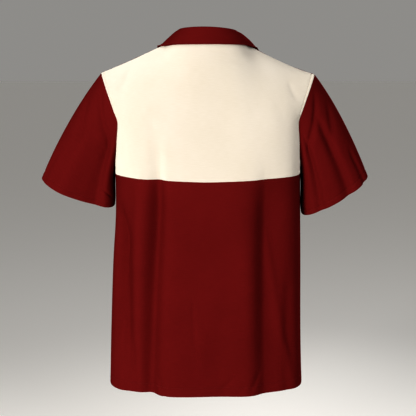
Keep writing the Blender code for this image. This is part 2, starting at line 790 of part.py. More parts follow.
def flap_profile(start, top, edge, roll, bulge):
    """The visible face of a turned flap: up its stand, over the roll and down its fall to the edge."""
    rise_way = unit(top - start)
    fall = edge - top
    outward = unit(fall - rise_way * np.dot(fall, rise_way))
    centre = top + outward * roll
    profile = [start, (start + top) / 2, top]
    for k in (1, 2, 3):
        a = math.pi * k / 4
        profile.append(centre - outward * roll * math.cos(a) + rise_way * roll * math.sin(a))
    landing = centre + outward * roll
    length = np.linalg.norm(edge - landing)
    leave = unit(-rise_way + unit(edge - landing) * 1.6) * length * 0.5
    for k in range(6):
        t = k / 5
        p = hermite(landing, leave, edge, (edge - landing) * 0.9, t) + outward * bulge * 4 * t * (1 - t)
        profile.append(p)
    return profile


def laid_on(tree, place, lift):
    """The nearest point of the body's cloth to a place, moved out by lift."""
    near, normal, _, _ = tree.find_nearest(Vector(place))
    return np.array(near) + np.array(normal) * lift


def eased(tree, profiles, first, lift):
    """The sections of a flap with their differences smoothed out, and clear of the body from the
    first point that lies over it."""
    grid = np.array(profiles)
    for _ in range(FLAP_EASING):
        grid[1:-1, 1:] = (grid[:-2, 1:] + 2 * grid[1:-1, 1:] + grid[2:, 1:]) / 4
    for section in grid:
        for k in range(first, len(section)):
            section[k] = kept_off(tree, section[k], lift)
    return grid


def flap_mesh(name, grid, starts):
    """A flap's wall from its visible faces, thickened towards the inside of its fold. The hidden face
    starts at the given points, level with the panel's outer face."""
    normals = np.cross(np.gradient(grid, axis=0), np.gradient(grid, axis=1))
    normals /= np.maximum(np.linalg.norm(normals, axis=2, keepdims=True), 1e-9)
    hidden = grid + normals * COLLAR_WALL
    hidden[:, 0] = starts
    return wall_mesh(name, list(grid), list(hidden))


def collar_mesh(tree, left, right, back):
    """The collar, from the left gorge round the neck to the right gorge."""
    count = 2 * int(round((1 - GORGE) * UPPER_ROWS)) + 1
    fronts = {
        "left": front_edge("left", left, GORGE, 1.0, count),
        "right": front_edge("right", right, GORGE, 1.0, count),
    }
    behind = neck_edge(back)
    half = len(behind) // 2
    walk = [("left", k / (count - 1), f) for k, f in enumerate(fronts["left"][:-1])]
    walk += [("left", 1 + k / half, f) for k, f in enumerate(behind[: half + 1])]
    walk += [("right", 1 + k / half, behind[-1 - k]) for k in range(half - 1, -1, -1)]
    walk += [("right", k / (count - 1), fronts["right"][k]) for k in range(count - 2, -1, -1)]
    profiles = []
    for side, place, (start, _, away) in walk:
        tilt = COLLAR_RIGHT_DROP * min(1, 2 * (2 - place)) if side == "right" else 0.0
        top = np.array([column(COLLAR, "top_" + k, place) for k in "xyz"])
        guess = np.array([column(COLLAR, "edge_" + k, place) for k in "xyz"])
        top[2] -= tilt
        for spot in (top, guess):
            spot[0] *= 1 if side == "left" else -1
        edge = laid_on(tree, guess, COLLAR_LIFT)
        bulge = column(COLLAR, "bulge", place)
        profiles.append(flap_profile(start, top, edge, COLLAR_ROLL, bulge))
    return flap_mesh("collar", eased(tree, profiles, 8, COLLAR_LIFT), [f[1] for _, _, f in walk])


def lapel_mesh(side, tree, panel):
    """One lapel, from the break up to the gorge."""
    table = LEFT_LAPEL if side == "left" else RIGHT_LAPEL
    frames = front_edge(side, panel, LAPEL_START[side], GORGE - NOTCH_GAP, LAPEL_STATIONS + 1)
    profiles = []
    for k, (start, _, away) in enumerate(frames):
        place = 1 - k / LAPEL_STATIONS
        edge = laid_on(tree, [column(table, "edge_" + c, place) for c in "xyz"], LAPEL_LIFT)
        bulge = column(table, "bulge", place)
        profiles.append(flap_profile(start, start + away * LAPEL_STAND, edge, LAPEL_ROLL, bulge))
    starts = [f[1] for f in frames]
    if side == "right":
        profiles, starts = profiles[::-1], starts[::-1]
    return flap_mesh("lapel_" + side, eased(tree, profiles, 6, LAPEL_LIFT), starts)


# ---- buttons ----


def button(name, place, normal, parts):
    """A four-hole button: a turned dish with its holes cut through."""
    r, t = BUTTON_RADIUS, BUTTON_THICKNESS / 2
    dish = [(0, t * 0.45), (r * 0.6, t * 0.45)]
    rim = [(r * 0.72, t), (r * 0.92, t), (r, t * 0.5), (r, -t * 0.5), (r * 0.9, -t)]
    profile = [Vector((x, 0, z)) * CM for x, z in dish + rim + [(0, -t)]]
    mesh = bpy.data.meshes.new(name)
    mesh.from_pydata(profile, [(i, i + 1) for i in range(len(profile) - 1)], [])
    obj = add_object(name, mesh, "button", parts)
    turned = obj.modifiers.new("turned", "SCREW")
    turned.steps = turned.render_steps = BUTTON_SIDES
    turned.use_merge_vertices = True
    turned.merge_threshold = 0.00001
    facing = Vector(normal).to_track_quat("Z", "Y").to_matrix().to_4x4()
    obj.matrix_world = Matrix.Translation(Vector(place) * CM) @ facing
    return obj


def buttons(tree, parts, cutters):
    """The row of buttons down the front, each just off the cloth, with four round cutters for its holes."""
    for i in range(BUTTON_COUNT):
        z = BUTTON_FIRST_Z - BUTTON_PITCH * i
        place, normal, _, _ = tree.ray_cast(Vector((0, -BUTTON_SIGHT, z)), Vector((0, 1, 0)))
        normal = normal if normal.y < 0 else -normal
        place = place + normal * (BUTTON_STAND_OFF + BUTTON_THICKNESS / 2)
        obj = button(f"button_{i + 1}", place, normal, parts)
        for hole in range(4):
            angle = math.radians(45 + 90 * hole)
            offset = Vector((math.cos(angle), math.sin(angle), 0)) * BUTTON_HOLE_RING
            bpy.ops.mesh.primitive_cylinder_add(
                vertices=8, radius=BUTTON_HOLE_RADIUS * CM, depth=BUTTON_THICKNESS * 3 * CM
            )
            pin = bpy.context.object
            pin.name = f"hole_{i + 1}_{hole + 1}"
            pin.matrix_world = obj.matrix_world @ Matrix.Translation(offset * CM)
            pin.hide_render = True
            pin.display_type = "WIRE"
            for owner in list(pin.users_collection):
                owner.objects.unlink(pin)
            cutters.objects.link(pin)
            cut = obj.modifiers.new(f"hole_{hole + 1}", "BOOLEAN")
            cut.operation = "DIFFERENCE"
            cut.solver = "EXACT"
            cut.object = pin


# ---- objects ----


def material(name):
    colour, roughness = COLOURS[name]
    made = bpy.data.materials.get(name) or bpy.data.materials.new(name)
    made.use_nodes = True
    shader = made.node_tree.nodes["Principled BSDF"]
    shader.inputs["Base Color"].default_value = (*colour, 1)
    shader.inputs["Roughness"].default_value = roughness
    return made


def add_object(name, mesh, finish, parts):
    obj = bpy.data.objects.new(name, mesh)
    mesh.materials.append(material(finish))
    parts.objects.link(obj)
    return obj


def outer_tree(grids):
    """A search tree of the body's outer faces, in centimetres."""
    points, faces = [], []
    for grid in grids:
        rows, columns = len(grid), len(grid[0])
        base = len(points)
        points += [Vector(p) for row in grid for p in row]
        for i in range(rows - 1):
            for j in range(columns - 1):
                a = base + i * columns + j
                faces.append((a, a + 1, a + columns + 1, a + columns))
    return BVHTree.FromPolygons(points, faces)


def main():
    for obj in list(bpy.data.objects):
        bpy.data.objects.remove(obj)
    parts = bpy.data.collections.new("camp_shirt")
    bpy.context.scene.collection.children.link(parts)
    cutters = bpy.data.collections.new("cutters")
    bpy.context.scene.collection.children.link(cutters)
    (low, low_in), (high, high_in) = back_panels()
    left, left_in = front_panel("left")
    right, right_in = front_panel("right")
    add_object("back_lower", wall_mesh("back_lower", low, low_in), "maroon", parts)
    add_object("back_upper", wall_mesh("back_upper", high, high_in), "cream", parts)
    add_object("front_left", wall_mesh("front_left", left, left_in), "maroon", parts)
    add_object("front_right", wall_mesh("front_right", right, right_in), "maroon", parts)
    for sleeve in rows_of(SLEEVES):
        side = sleeve["side"]
        front = (left, left_in) if side == "left" else (right, right_in)
        rings, lining = sleeve_wall(sleeve, (high, high_in), front)
        name = "sleeve_" + side
        add_object(name, wall_mesh(name, rings, lining, closed=True), "maroon", parts)
    tree = outer_tree([low, high, left, right])
    fronts = {"left": (left, left_in), "right": (right, right_in)}
    collar = collar_mesh(tree, fronts["left"], fronts["right"], (high, high_in))
    add_object("collar", collar, "maroon", parts)
    for side in ("left", "right"):
        add_object("lapel_" + side, lapel_mesh(side, tree, fronts[side]), "maroon", parts)
    buttons(tree, parts, cutters)


main()
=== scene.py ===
import math
import random

import bpy
import numpy as np
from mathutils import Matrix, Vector
from mathutils.bvhtree import BVHTree


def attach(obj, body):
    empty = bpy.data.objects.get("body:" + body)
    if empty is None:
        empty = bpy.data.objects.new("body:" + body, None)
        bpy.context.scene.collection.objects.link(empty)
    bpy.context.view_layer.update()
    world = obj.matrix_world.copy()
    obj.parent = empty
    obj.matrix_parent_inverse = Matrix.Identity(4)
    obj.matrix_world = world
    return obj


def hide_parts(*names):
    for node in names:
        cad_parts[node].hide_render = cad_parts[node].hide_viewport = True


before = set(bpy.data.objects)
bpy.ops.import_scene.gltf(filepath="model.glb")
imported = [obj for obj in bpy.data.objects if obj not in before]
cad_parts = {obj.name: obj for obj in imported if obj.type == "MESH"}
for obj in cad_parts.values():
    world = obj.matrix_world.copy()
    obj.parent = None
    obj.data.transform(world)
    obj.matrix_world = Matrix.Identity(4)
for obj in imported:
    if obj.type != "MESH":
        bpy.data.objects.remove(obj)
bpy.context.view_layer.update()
cm = 0.01  # every table is in centimetres, and every mesh in metres
hands = {"left": 1, "right": -1}  # the wearer's

# What the whole shirt is cut from. The wearer's left is +X, and the front faces -Y.
cloth = {
    "thick": 0.06,  # one ply with its finish
    "collarThick": 0.13,  # two plies and the interlining
    "hemFold": 0.075,  # radius of the fold at a turned hem
    "bodyHem": 2.0,
    "sleeveHem": 1.45,
    "hemStitch": 0.2,  # below the hem's raw fold
    "topstitch": 0.5,  # from a sewn edge
    "slack": 0.12,  # faint waves all over
    "step": 0.3,  # mesh spacing
    "gap": 0.03,  # between sewn pieces
}


def smoothstep(low, high, x):
    t = np.clip((np.asarray(x, float) - low) / (high - low), 0, 1)
    return t * t * (3 - 2 * t)


def unit(v):
    v = np.asarray(v, float)
    return v / np.maximum(np.linalg.norm(v, axis=-1, keepdims=True), 1e-9)


def read(table, name, at):
    # one column of a table, read smoothly between its rows
    keys = np.array(next(iter(table.values())), float)
    values = np.array(table[name], float)
    slopes = np.gradient(values, keys)
    at = np.clip(np.asarray(at, float), keys[0], keys[-1])
    i = np.clip(np.searchsorted(keys, at) - 1, 0, len(keys) - 2)
    span = keys[i + 1] - keys[i]
    return hermite(values[i], span * slopes[i], values[i + 1], span * slopes[i + 1], (at - keys[i]) / span)


def readPlace(table, name, at):
    return np.array([float(read(table, name + axis, at)) for axis in "XYZ"])


def hermite(a, leave, b, reach, t):
    rise = 3 * t**2 - 2 * t**3
    return (1 - rise) * a + (t**3 - 2 * t**2 + t) * leave + rise * b + (t**3 - t**2) * reach


def gone(points):
    # distance along a line of points
    return np.r_[0, np.cumsum(np.linalg.norm(np.diff(points, axis=0), axis=1))]


def onLine(line, lengths, at):
    # points of a line at other lengths along it
    return np.stack([np.interp(at, lengths, line[:, k]) for k in range(3)], -1)


def splineMatrix(knots, at):
    # weights that read a natural cubic spline through the knots at other places
    n, h = len(knots), np.diff(knots)
    left, right = np.eye(n), np.zeros((n, n))
    for i in range(1, n - 1):
        left[i, i - 1 : i + 2] = h[i - 1], 2 * (h[i - 1] + h[i]), h[i]
        right[i, i - 1 : i + 2] = 6 / h[i - 1], -6 / h[i - 1] - 6 / h[i], 6 / h[i]
    bend = np.linalg.solve(left, right)
    k = np.clip(np.searchsorted(knots, at, side="right") - 1, 0, n - 2)
    a = (knots[k + 1] - at) / h[k]
    b = 1 - a
    weights = ((a**3 - a) * h[k] ** 2 / 6)[:, None] * bend[k]
    weights += ((b**3 - b) * h[k] ** 2 / 6)[:, None] * bend[k + 1]
    weights[np.arange(len(at)), k] += a
    weights[np.arange(len(at)), k + 1] += b
    return weights


def gridNormals(grid, closed=False):
    # outward normals of a grid whose columns run rightwards and rows upwards, seen from outside
    if closed:
        across = np.roll(grid, -1, axis=1) - np.roll(grid, 1, axis=1)
    else:
        across = np.gradient(grid, axis=1)
    return unit(np.cross(across, np.gradient(grid, axis=0)))


# Folds, each along a line from one place to another. Places are girth from the centre back or centre front,
# positive on the wearer's left, and level. Negative depth is a trough, skew widens the side towards the
# wearer's right, and a fold that is open runs off at its lower end.
foldNames = ("girth0", "z0", "girth1", "z1", "width0", "width1", "depth", "bend", "skew", "open")


def foldHeight(folds, u, v):
    # how far the folds lift or sink the cloth at places u, v
    height = np.zeros_like(u)
    for row in folds:
        f = dict(zip(foldNames, row))
        du, dv = f["girth1"] - f["girth0"], f["z1"] - f["z0"]
        length = math.hypot(du, dv)
        t = ((u - f["girth0"]) * du + (v - f["z0"]) * dv) / length**2
        held = np.clip(t, 0, 1)
        aside = ((u - f["girth0"]) * dv - (v - f["z0"]) * du) / length - f["bend"] * 4 * held * (1 - held)
        width = f["width0"] + (f["width1"] - f["width0"]) * held
        width = np.where(aside > 0, width * f["skew"], width)
        fade = smoothstep(0, 0.3, t)
        if not f["open"]:
            fade = fade * (1 - smoothstep(0.65, 1, t))
        height += f["depth"] * fade * np.exp(-((aside / width) ** 2))
    return height


def spots(length, spacing, first=True, last=True, lines=()):
    # places along a length, closer together near a sewn edge or a line of stitches (negative: from the end)
    count = max(int(round(length / spacing)), 4)
    fine = [0.05, 0.11, 0.18]
    kept = [p for p in fine if first] + [length - p for p in fine if last]
    for line in lines:
        kept += [line % length + d for d in (-0.11, 0, 0.11)]
    plain = np.linspace(0, length, count + 1)
    clear = [p for p in plain[1:-1] if min(abs(p - k) for k in kept) > 0.07] if kept else list(plain[1:-1])
    return np.array(sorted([0, length] + clear + kept))


print("shirt: shape functions ready")


# Levels below the neck's base
level = {
    "hem": -71.9, "hemLift": 0.6, "seamSide": -26.3, "seamMid": -27.05, "underarm": -25.6, "chest": -15.0,
}
opening = {"overlap": 1.75, "underlap": 0.33, "underlapRun": 3.2}
neck = {"point": (8.2, -0.4, 1.0), "nape": (0.0, 7.0, 1.9), "square": 2.15}
shoulders = {
    "point": (22.5, -0.6, -5.4),
    "sag": {"left": 0.08, "right": 0.55},
    "rightDrop": 0.25,  # the right one hangs this much lower
    "pull": 0.92,  # how straight the front's cloth runs into the seam
}

# Body sections: half width, shift to the wearer's left, depth behind and before the side seam, squareness
torso = {
    "z": (-72, -60, -45, -34, -26, -15),
    "half": (20.8, 20.4, 20.0, 19.6, 19.6, 20.0),
    "shift": (0.4, 0.45, 0.25, 0, 0, 0),
    "back": (12.9, 12.6, 12.6, 12.9, 13.1, 12.9),
    "front": (12.1, 12.0, 12.1, 12.4, 12.5, 11.9),
    "square": (2.8, 2.75, 2.7, 2.65, 2.65, 2.7),
}
armhole = {
    "z": (-25.6, -25.1, -24.2, -22.4, -19.5, -15),
    "back": (0, 1.7, 3.0, 4.5, 5.7, 6.5),
    "front": (0, 1.8, 3.2, 4.8, 6.1, 6.9),
    "ease": 2.4,
}

# The way the back's cloth would go on over the shoulder seam (0 to 0.3) or the neckline (to 0.5)
backCrossing = {
    "at": (0, 0.15, 0.3, 0.34, 0.4, 0.5),
    "wayX": (0.1, 0, -0.02, -0.08, -0.08, 0),
    "wayY": (-0.98, -0.98, -0.95, -0.9, -0.75, -0.55),
    "wayZ": (0.2, 0.2, 0.3, 0.42, 0.66, 0.83),
}
armholeWay = {"leave": (0.36, 0, 1), "reach": (0.1, -0.95, 0.16)}

# The front's cloth from the opening (0) to the armhole (1): its way up from the chest and over the shoulder
frontRise = {
    "at": (0, 0.3, 0.65, 0.93, 1),
    "leaveX": (0.46, 0.22, 0.08, 0.1, 0.3),
    "leaveY": (0.06, 0.04, 0.02, 0, 0),
    "leaveZ": (0.89, 0.97, 1, 1, 1),
    "reachX": (0.12, 0.04, 0, 0.02, 0.1),
    "reachY": (0.9, 0.97, 0.99, 0.99, 0.98),
    "reachZ": (0.42, 0.22, 0.12, 0.14, 0.16),
}


# Coarse base of the body: the same sections, chest rows and relaxed upper back that the solids have, without
# their folds. A fourth number at each point is its girth.
def halfSection(z, face):
    turn = np.linspace(math.pi / 2, 0, 161)
    square = read(torso, "square", z)
    x = read(torso, "half", z) * np.abs(np.cos(turn)) ** (2 / square)
    y = read(torso, face, z) * np.abs(np.sin(turn)) ** (2 / square)
    x[0], y[-1] = 0, 0
    return x, y, gone(np.stack([x, y], 1))


def onSection(z, face, girth, hand):
    x, y, lengths = halfSection(z, face)
    place = np.interp(girth, lengths, y)
    across = hand * np.interp(girth, lengths, x) + read(torso, "shift", z)
    return [float(across), float(place if face == "back" else -place), z, girth * hand]


def armholeCut(z, face):
    if z <= level["underarm"]:
        return 0.0
    _, y, lengths = halfSection(z, face)
    return lengths[-1] - np.interp(read(armhole, face, z), y[::-1], lengths[::-1])


def backPoint(share, z):
    across = 1 - 2 * share
    whole = halfSection(z, "back")[2][-1]
    girth = whole * abs(across) - armholeCut(z, "back") * abs(across) ** armhole["ease"]
    return onSection(z, "back", girth, 1 if across >= 0 else -1)


def frontPoint(side, share, z):
    hand = hands[side]
    whole, over = halfSection(z, "front")[2][-1], opening["overlap"]
    girth = -over + (whole + over) * share - armholeCut(z, "front") * share ** armhole["ease"]
    if girth < 0:
        place = onSection(z, "front", -girth, -hand)
    else:
        place = onSection(z, "front", girth, hand)
    return place


def shoulder(side, share):
    a, b = np.array(neck["point"]), np.array(shoulders["point"])
    place = a + (b - a) * share
    place[2] -= shoulders["sag"][side] * 4 * share * (1 - share)
    if side == "right":
        place = place * (-1, 1, 1) - (0, 0, shoulders["rightDrop"])
    return place


def neckLine(share):
    left, right, nape = shoulder("left", 0), shoulder("right", 0), neck["nape"]
    turn = np.linspace(0, math.pi, 241)
    out = np.abs(np.cos(turn)) ** (2 / neck["square"])
    behind = np.sin(turn) ** (2 / neck["square"])
    side = np.where((turn < math.pi / 2)[:, None], left, right)
    z = side[:, 2] + (nape[2] - side[:, 2]) * behind**1.3
    line = np.stack([side[:, 0] * out, side[:, 1] + (nape[1] - side[:, 1]) * behind, z], axis=1)
    lengths = gone(line)
    return onLine(line, lengths, share * lengths[-1])


def backTop(share):
    # the back's upper edge: left shoulder seam, neckline, right shoulder seam
    if share <= 0.3:
        return shoulder("left", 1 - share / 0.3)
    if share >= 0.7:
        return shoulder("right", (share - 0.7) / 0.3)
    return neckLine((share - 0.3) / 0.4)


def armholeEdge(side, t):
    hand = hands[side]
    a = np.array(backPoint(0.0 if side == "left" else 1.0, level["chest"])[:3])
    b = shoulder(side, 1)
    leave, reach = (unit(armholeWay[k]) * np.linalg.norm(b - a) * (hand, 1, 1) for k in ("leave", "reach"))
    return hermite(a, leave, b, reach, t)


def relaxed(grid, below, above, tall, wide):
    # fills the inside of the grid so that the cloth bends as little as it can between its edges
    full = np.vstack([[below], grid, [above]])
    rows, columns = full.shape[:2]
    free = {(i, j): 0 for i in range(2, rows - 2) for j in range(1, columns - 1)}
    for k, place in enumerate(free):
        free[place] = k
    terms = []
    for i in range(rows):
        for j in range(columns):
            if 0 < i < rows - 1:
                terms.append((tall**-2, {(i - 1, j): 1, (i, j): -2, (i + 1, j): 1}))
            if 0 < j < columns - 1:
                terms.append((wide**-2, {(i, j - 1): 1, (i, j): -2, (i, j + 1): 1}))
            if i < rows - 1 and j < columns - 1:
                corners = {(i, j): 1, (i + 1, j): -1, (i, j + 1): -1, (i + 1, j + 1): 1}
                terms.append((2**0.5 / (tall * wide), corners))
    matrix, known = np.zeros((len(terms), len(free))), np.zeros((len(terms), 3))
    for row, (weight, parts) in enumerate(terms):
        for place, factor in parts.items():
            if place in free:
                matrix[row, free[place]] += weight * factor
            else:
                known[row] -= weight * factor * full[place]
    found = np.linalg.solve(matrix.T @ matrix, matrix.T @ known)
    for place, k in free.items():
        full[place] = found[k]
    return full[1:-1]


lowerRows, chestRows, upperRows, backColumns, frontColumns = 11, 5, 9, 30, 15
columnWidth, rowStretch = 1.55, 1.2  # of the upper back, for the stiffness of its cloth


def seamLevel(share):
    across = abs(2 * share - 1)
    return level["seamMid"] + (level["seamSide"] - level["seamMid"]) * math.sin(math.pi / 2 * across**1.3)


def hemLevel(across):
    return level["hem"] + level["hemLift"] * across**3


def chestLevels():
    steps = (np.arange(chestRows + 1) / chestRows) ** 1.5
    return [float(z) for z in level["underarm"] + (level["chest"] - level["underarm"]) * steps]


def withGirth(rows, girths):
    return [[[*p[:3], g] for p, g in zip(row, girths)] for row in rows]


def backBase():
    shares = [float(s) for s in np.linspace(0, 1, backColumns + 1)]
    rows = []
    for i in range(lowerRows + 1):
        low = [hemLevel(abs(2 * s - 1)) for s in shares]
        rows.append([backPoint(s, z + (seamLevel(s) - z) * i / lowerRows) for s, z in zip(shares, low)])
    rows += [[backPoint(s, z) for s in shares] for z in chestLevels()]
    tall = (shoulders["point"][2] + neck["nape"][2] - 2 * level["chest"]) / 2 / upperRows * rowStretch
    top = np.zeros((upperRows + 1, len(shares), 3))
    top[0] = [p[:3] for p in rows[-1]]
    top[-1] = [backTop(s) for s in shares]
    for i in range(upperRows + 1):
        top[i, 0], top[i, -1] = (armholeEdge(side, i / upperRows) for side in ("left", "right"))
    below = [backPoint(s, level["chest"] - tall)[:3] for s in shares]
    above = []
    for j, s in enumerate(shares):
        way = readPlace(backCrossing, "way", min(s, 1 - s))
        above.append(top[-1, j] + unit(way * (1 if s < 0.5 else -1, 1, 1)) * tall)
    top = relaxed(top, np.array(below), np.array(above), tall, columnWidth)
    return np.array(rows + withGirth(top[1:], [p[3] for p in rows[-1]]), float)


def frontBase(side):
    shares = [float(s) for s in np.linspace(0, 1, frontColumns + 1)]
    rows = []
    for i in range(lowerRows + 2):
        low = [hemLevel(s) for s in shares]
        rise = i / (lowerRows + 1)
        rows.append([frontPoint(side, s, z + (level["underarm"] - z) * rise) for s, z in zip(shares, low)])
    rows += [[frontPoint(side, s, z) for s in shares] for z in chestLevels()[1:]]
    top, mirror = [], (hands[side], 1, 1)
    for i in range(1, upperRows + 1):
        line = []
        for s, a in zip(shares, rows[-1]):
            a, b = np.array(a[:3]), shoulder(side, s)
            length = np.linalg.norm(b - a)
            leave, reach = (unit(readPlace(frontRise, k, s)) * mirror * length for k in ("leave", "reach"))
            line.append(hermite(a, leave, b, reach * shoulders["pull"], i / upperRows))
        top.append(line)
    return np.array(rows + withGirth(top, [p[3] for p in rows[-1]]), float)


def distances(base):
    # mean distance of each row from the first, and of each column
    rows = np.r_[0, np.cumsum(np.linalg.norm(np.diff(base[:, :, :3], axis=0), axis=2).mean(axis=1))]
    columns = np.r_[0, np.cumsum(np.linalg.norm(np.diff(base[:, :, :3], axis=1), axis=2).mean(axis=0))]
    return rows, columns


def refined(base, rowKnots, rows, columnKnots, columns):
    across = splineMatrix(columnKnots, columns)
    up = splineMatrix(rowKnots, rows)
    return np.einsum("ri,ijk,cj->rck", up, base, across)


# Fine cloth: one panel of the base, read through splines
def finePanel(base, first, last, rowLines, columnLines, sewn, fit=None):
    rowKnots, columnKnots = distances(base)
    rows = rowKnots[first] + spots(rowKnots[last] - rowKnots[first], cloth["step"], first > 0, True, rowLines)
    columns = spots(columnKnots[-1], cloth["step"], sewn[0], sewn[1], columnLines)
    grid = refined(base, rowKnots, rows, columnKnots, columns)
    if fit:
        exact = np.array([fit(s) for s in columns / columnKnots[-1]])
        near = smoothstep(rowKnots[-2], rowKnots[-1], rows)[:, None, None] ** 2
        grid[:, :, :3] += near * (exact - grid[-1, :, :3])[None]
    return {
        "grid": grid[:, :, :3], "girth": grid[:, :, 3], "rows": rows, "columns": columns, "knots": rowKnots,
        "rowLines": rowLines, "columnLines": columnLines,
    }


# What sewing does to the cloth
seams = {
    "grooveDepth": 0.075,  # along a line of stitches
    "grooveWidth": 0.15,
    "edgeWidth": 0.12,  # how far in the cloth dips at a sewn edge
    "crossWave": 0.012,  # unevenness of a long straight seam
    "headWave": 0.015,  # and of a sleeve's head
    "underarm": 0.06,  # how deep the sleeve's own seam lies
    "hemPly": 0.018,
    "hemPucker": 0.016,
    "hemWave": 0.022,
    "armholePucker": 0.15,
    "armholePly": 0.05,  # the seam's turnings lie under a strip beside it
    "armholeStart": (2, 9),  # the armhole's curve begins this far above the panel's lowest row
}
# How deep each panel dips into its sewn edges
sinks = {
    "lowerBack": {"side": 0.05, "foot": 0, "head": 0.045},
    "upperBack": {"side": 0.03, "foot": 0.035, "head": 0.045},
    "front": {"side": 0.05, "foot": 0, "head": 0.04},
}
# One number for each uneven wave, so that it comes out the same each time
seeds = {
    "backSlack": 21, "frontSlack": 22, "sleeveSlack": 23,
    "backHem": 3, "frontHem": {"left": 5, "right": 7}, "sleeveHem": {"left": 11, "right": 13},
    "backArmholes": (31, 32), "frontArmhole": 33,
    "seamBelow": 9, "seamAbove": 10, "sleeveHead": 15,
}


def edgeSink(places, length, first, last, lines=()):
    # the cloth dips into a sewn edge, and a little along a line of stitches
    depth = np.zeros_like(places)
    for line in lines:
        depth += seams["grooveDepth"] * np.exp(-(((places - line % length) / seams["grooveWidth"]) ** 2))
    if first:
        depth += first * np.exp(-((places / seams["edgeWidth"]) ** 2))
    if last:
        depth += last * np.exp(-(((length - places) / seams["edgeWidth"]) ** 2))
    return depth


def wobble(u, seed, scale=1.0):
    # an uneven wave, the same each time
    dice = random.Random(seed)
    height = np.zeros_like(u)
    for k in range(5):
        wave = dice.uniform(0.75, 1.9) / scale * 0.42  # waves in a centimetre
        size = math.sin(k + 1.3) * dice.uniform(0.5, 1)
        height += size * np.sin(2 * math.pi * u * wave + dice.uniform(0, 6.3))
    return height / 2.2


def slack(u, v, seed, size):
    # faint waves in loose cloth, longer down than across, the same each time
    dice = random.Random(seed)
    height = np.zeros_like(u)
    count = 9
    for _ in range(count):
        across, down = dice.uniform(0.5, 1.5) * dice.choice((-1, 1)), dice.uniform(0.06, 0.35)
        height += dice.uniform(0.4, 1) * np.sin(across * u + down * v + dice.uniform(0, 6.3)) / abs(across)
    return height * size / count


def hemPuckers(along, up, depth, seed):
    # the sewn hem: small puckers along its stitches, and two plies under it
    plies = 1 - smoothstep(depth - 0.35, depth - 0.05, up)
    puckers = wobble(along, seed, 0.9) * np.exp(-(((up - depth + cloth["hemStitch"]) / 0.6) ** 2))
    waves = wobble(along, seed + 1, 2.2) * plies
    return seams["hemPly"] * plies + seams["hemPucker"] * puckers + seams["hemWave"] * waves


def armholePuckers(rows, fromEdge, seed):
    # short puckers where the curved armhole is sewn to the sleeve
    inside = np.maximum(fromEdge - cloth["topstitch"], 0)[None]
    waves = wobble(rows[:, None] + 0.7 * inside, seed, 0.55) * np.exp(-inside / 0.8)
    waves = seams["armholePucker"] * waves * smoothstep(0.2, 0.8, fromEdge)[None]
    plies = seams["armholePly"] * (1 - smoothstep(0.36, 0.52, fromEdge))[None]
    low, high = (rows[0] + k for k in seams["armholeStart"])
    return (waves + plies) * smoothstep(low, high, rows)[:, None]


def turnedHem(grid, normals, rows, depth):
    # adds the cloth that is folded up inside along the first row
    r = cloth["hemFold"]
    inside = [i for i in range(1, len(rows)) if rows[i] - rows[0] <= depth][::-2]
    down = unit(grid[0] - grid[1])
    centre = grid[0] - normals[0] * r
    turned = [grid[i] - normals[i] * 2 * r for i in inside]
    for a in np.linspace(math.pi, 0, 7)[:-1]:
        turned.append(centre + normals[0] * r * math.cos(a) + down * r * math.sin(a))
    places = [rows[0] - (rows[i] - rows[0]) for i in inside] + [rows[0]] * 6
    return np.concatenate([np.array(turned), grid]), np.r_[places, rows]


def perimeter(rows, columns, closed):
    if closed:
        return [[(0, j) for j in range(columns)], [(rows - 1, j) for j in range(columns)][::-1]]
    loop = [(0, j) for j in range(columns - 1)] + [(i, columns - 1) for i in range(rows - 1)]
    loop += [(rows - 1, j) for j in range(columns - 1, 0, -1)] + [(i, 0) for i in range(rows - 1, 0, -1)]
    return [loop]


def uvGrid(across, down):
    return np.stack(np.broadcast_arrays(across[None, :] * cm, down[:, None] * cm), -1)


def linked(name, mesh):
    obj = bpy.data.objects.new(name, mesh)
    bpy.context.scene.collection.objects.link(obj)
    return obj


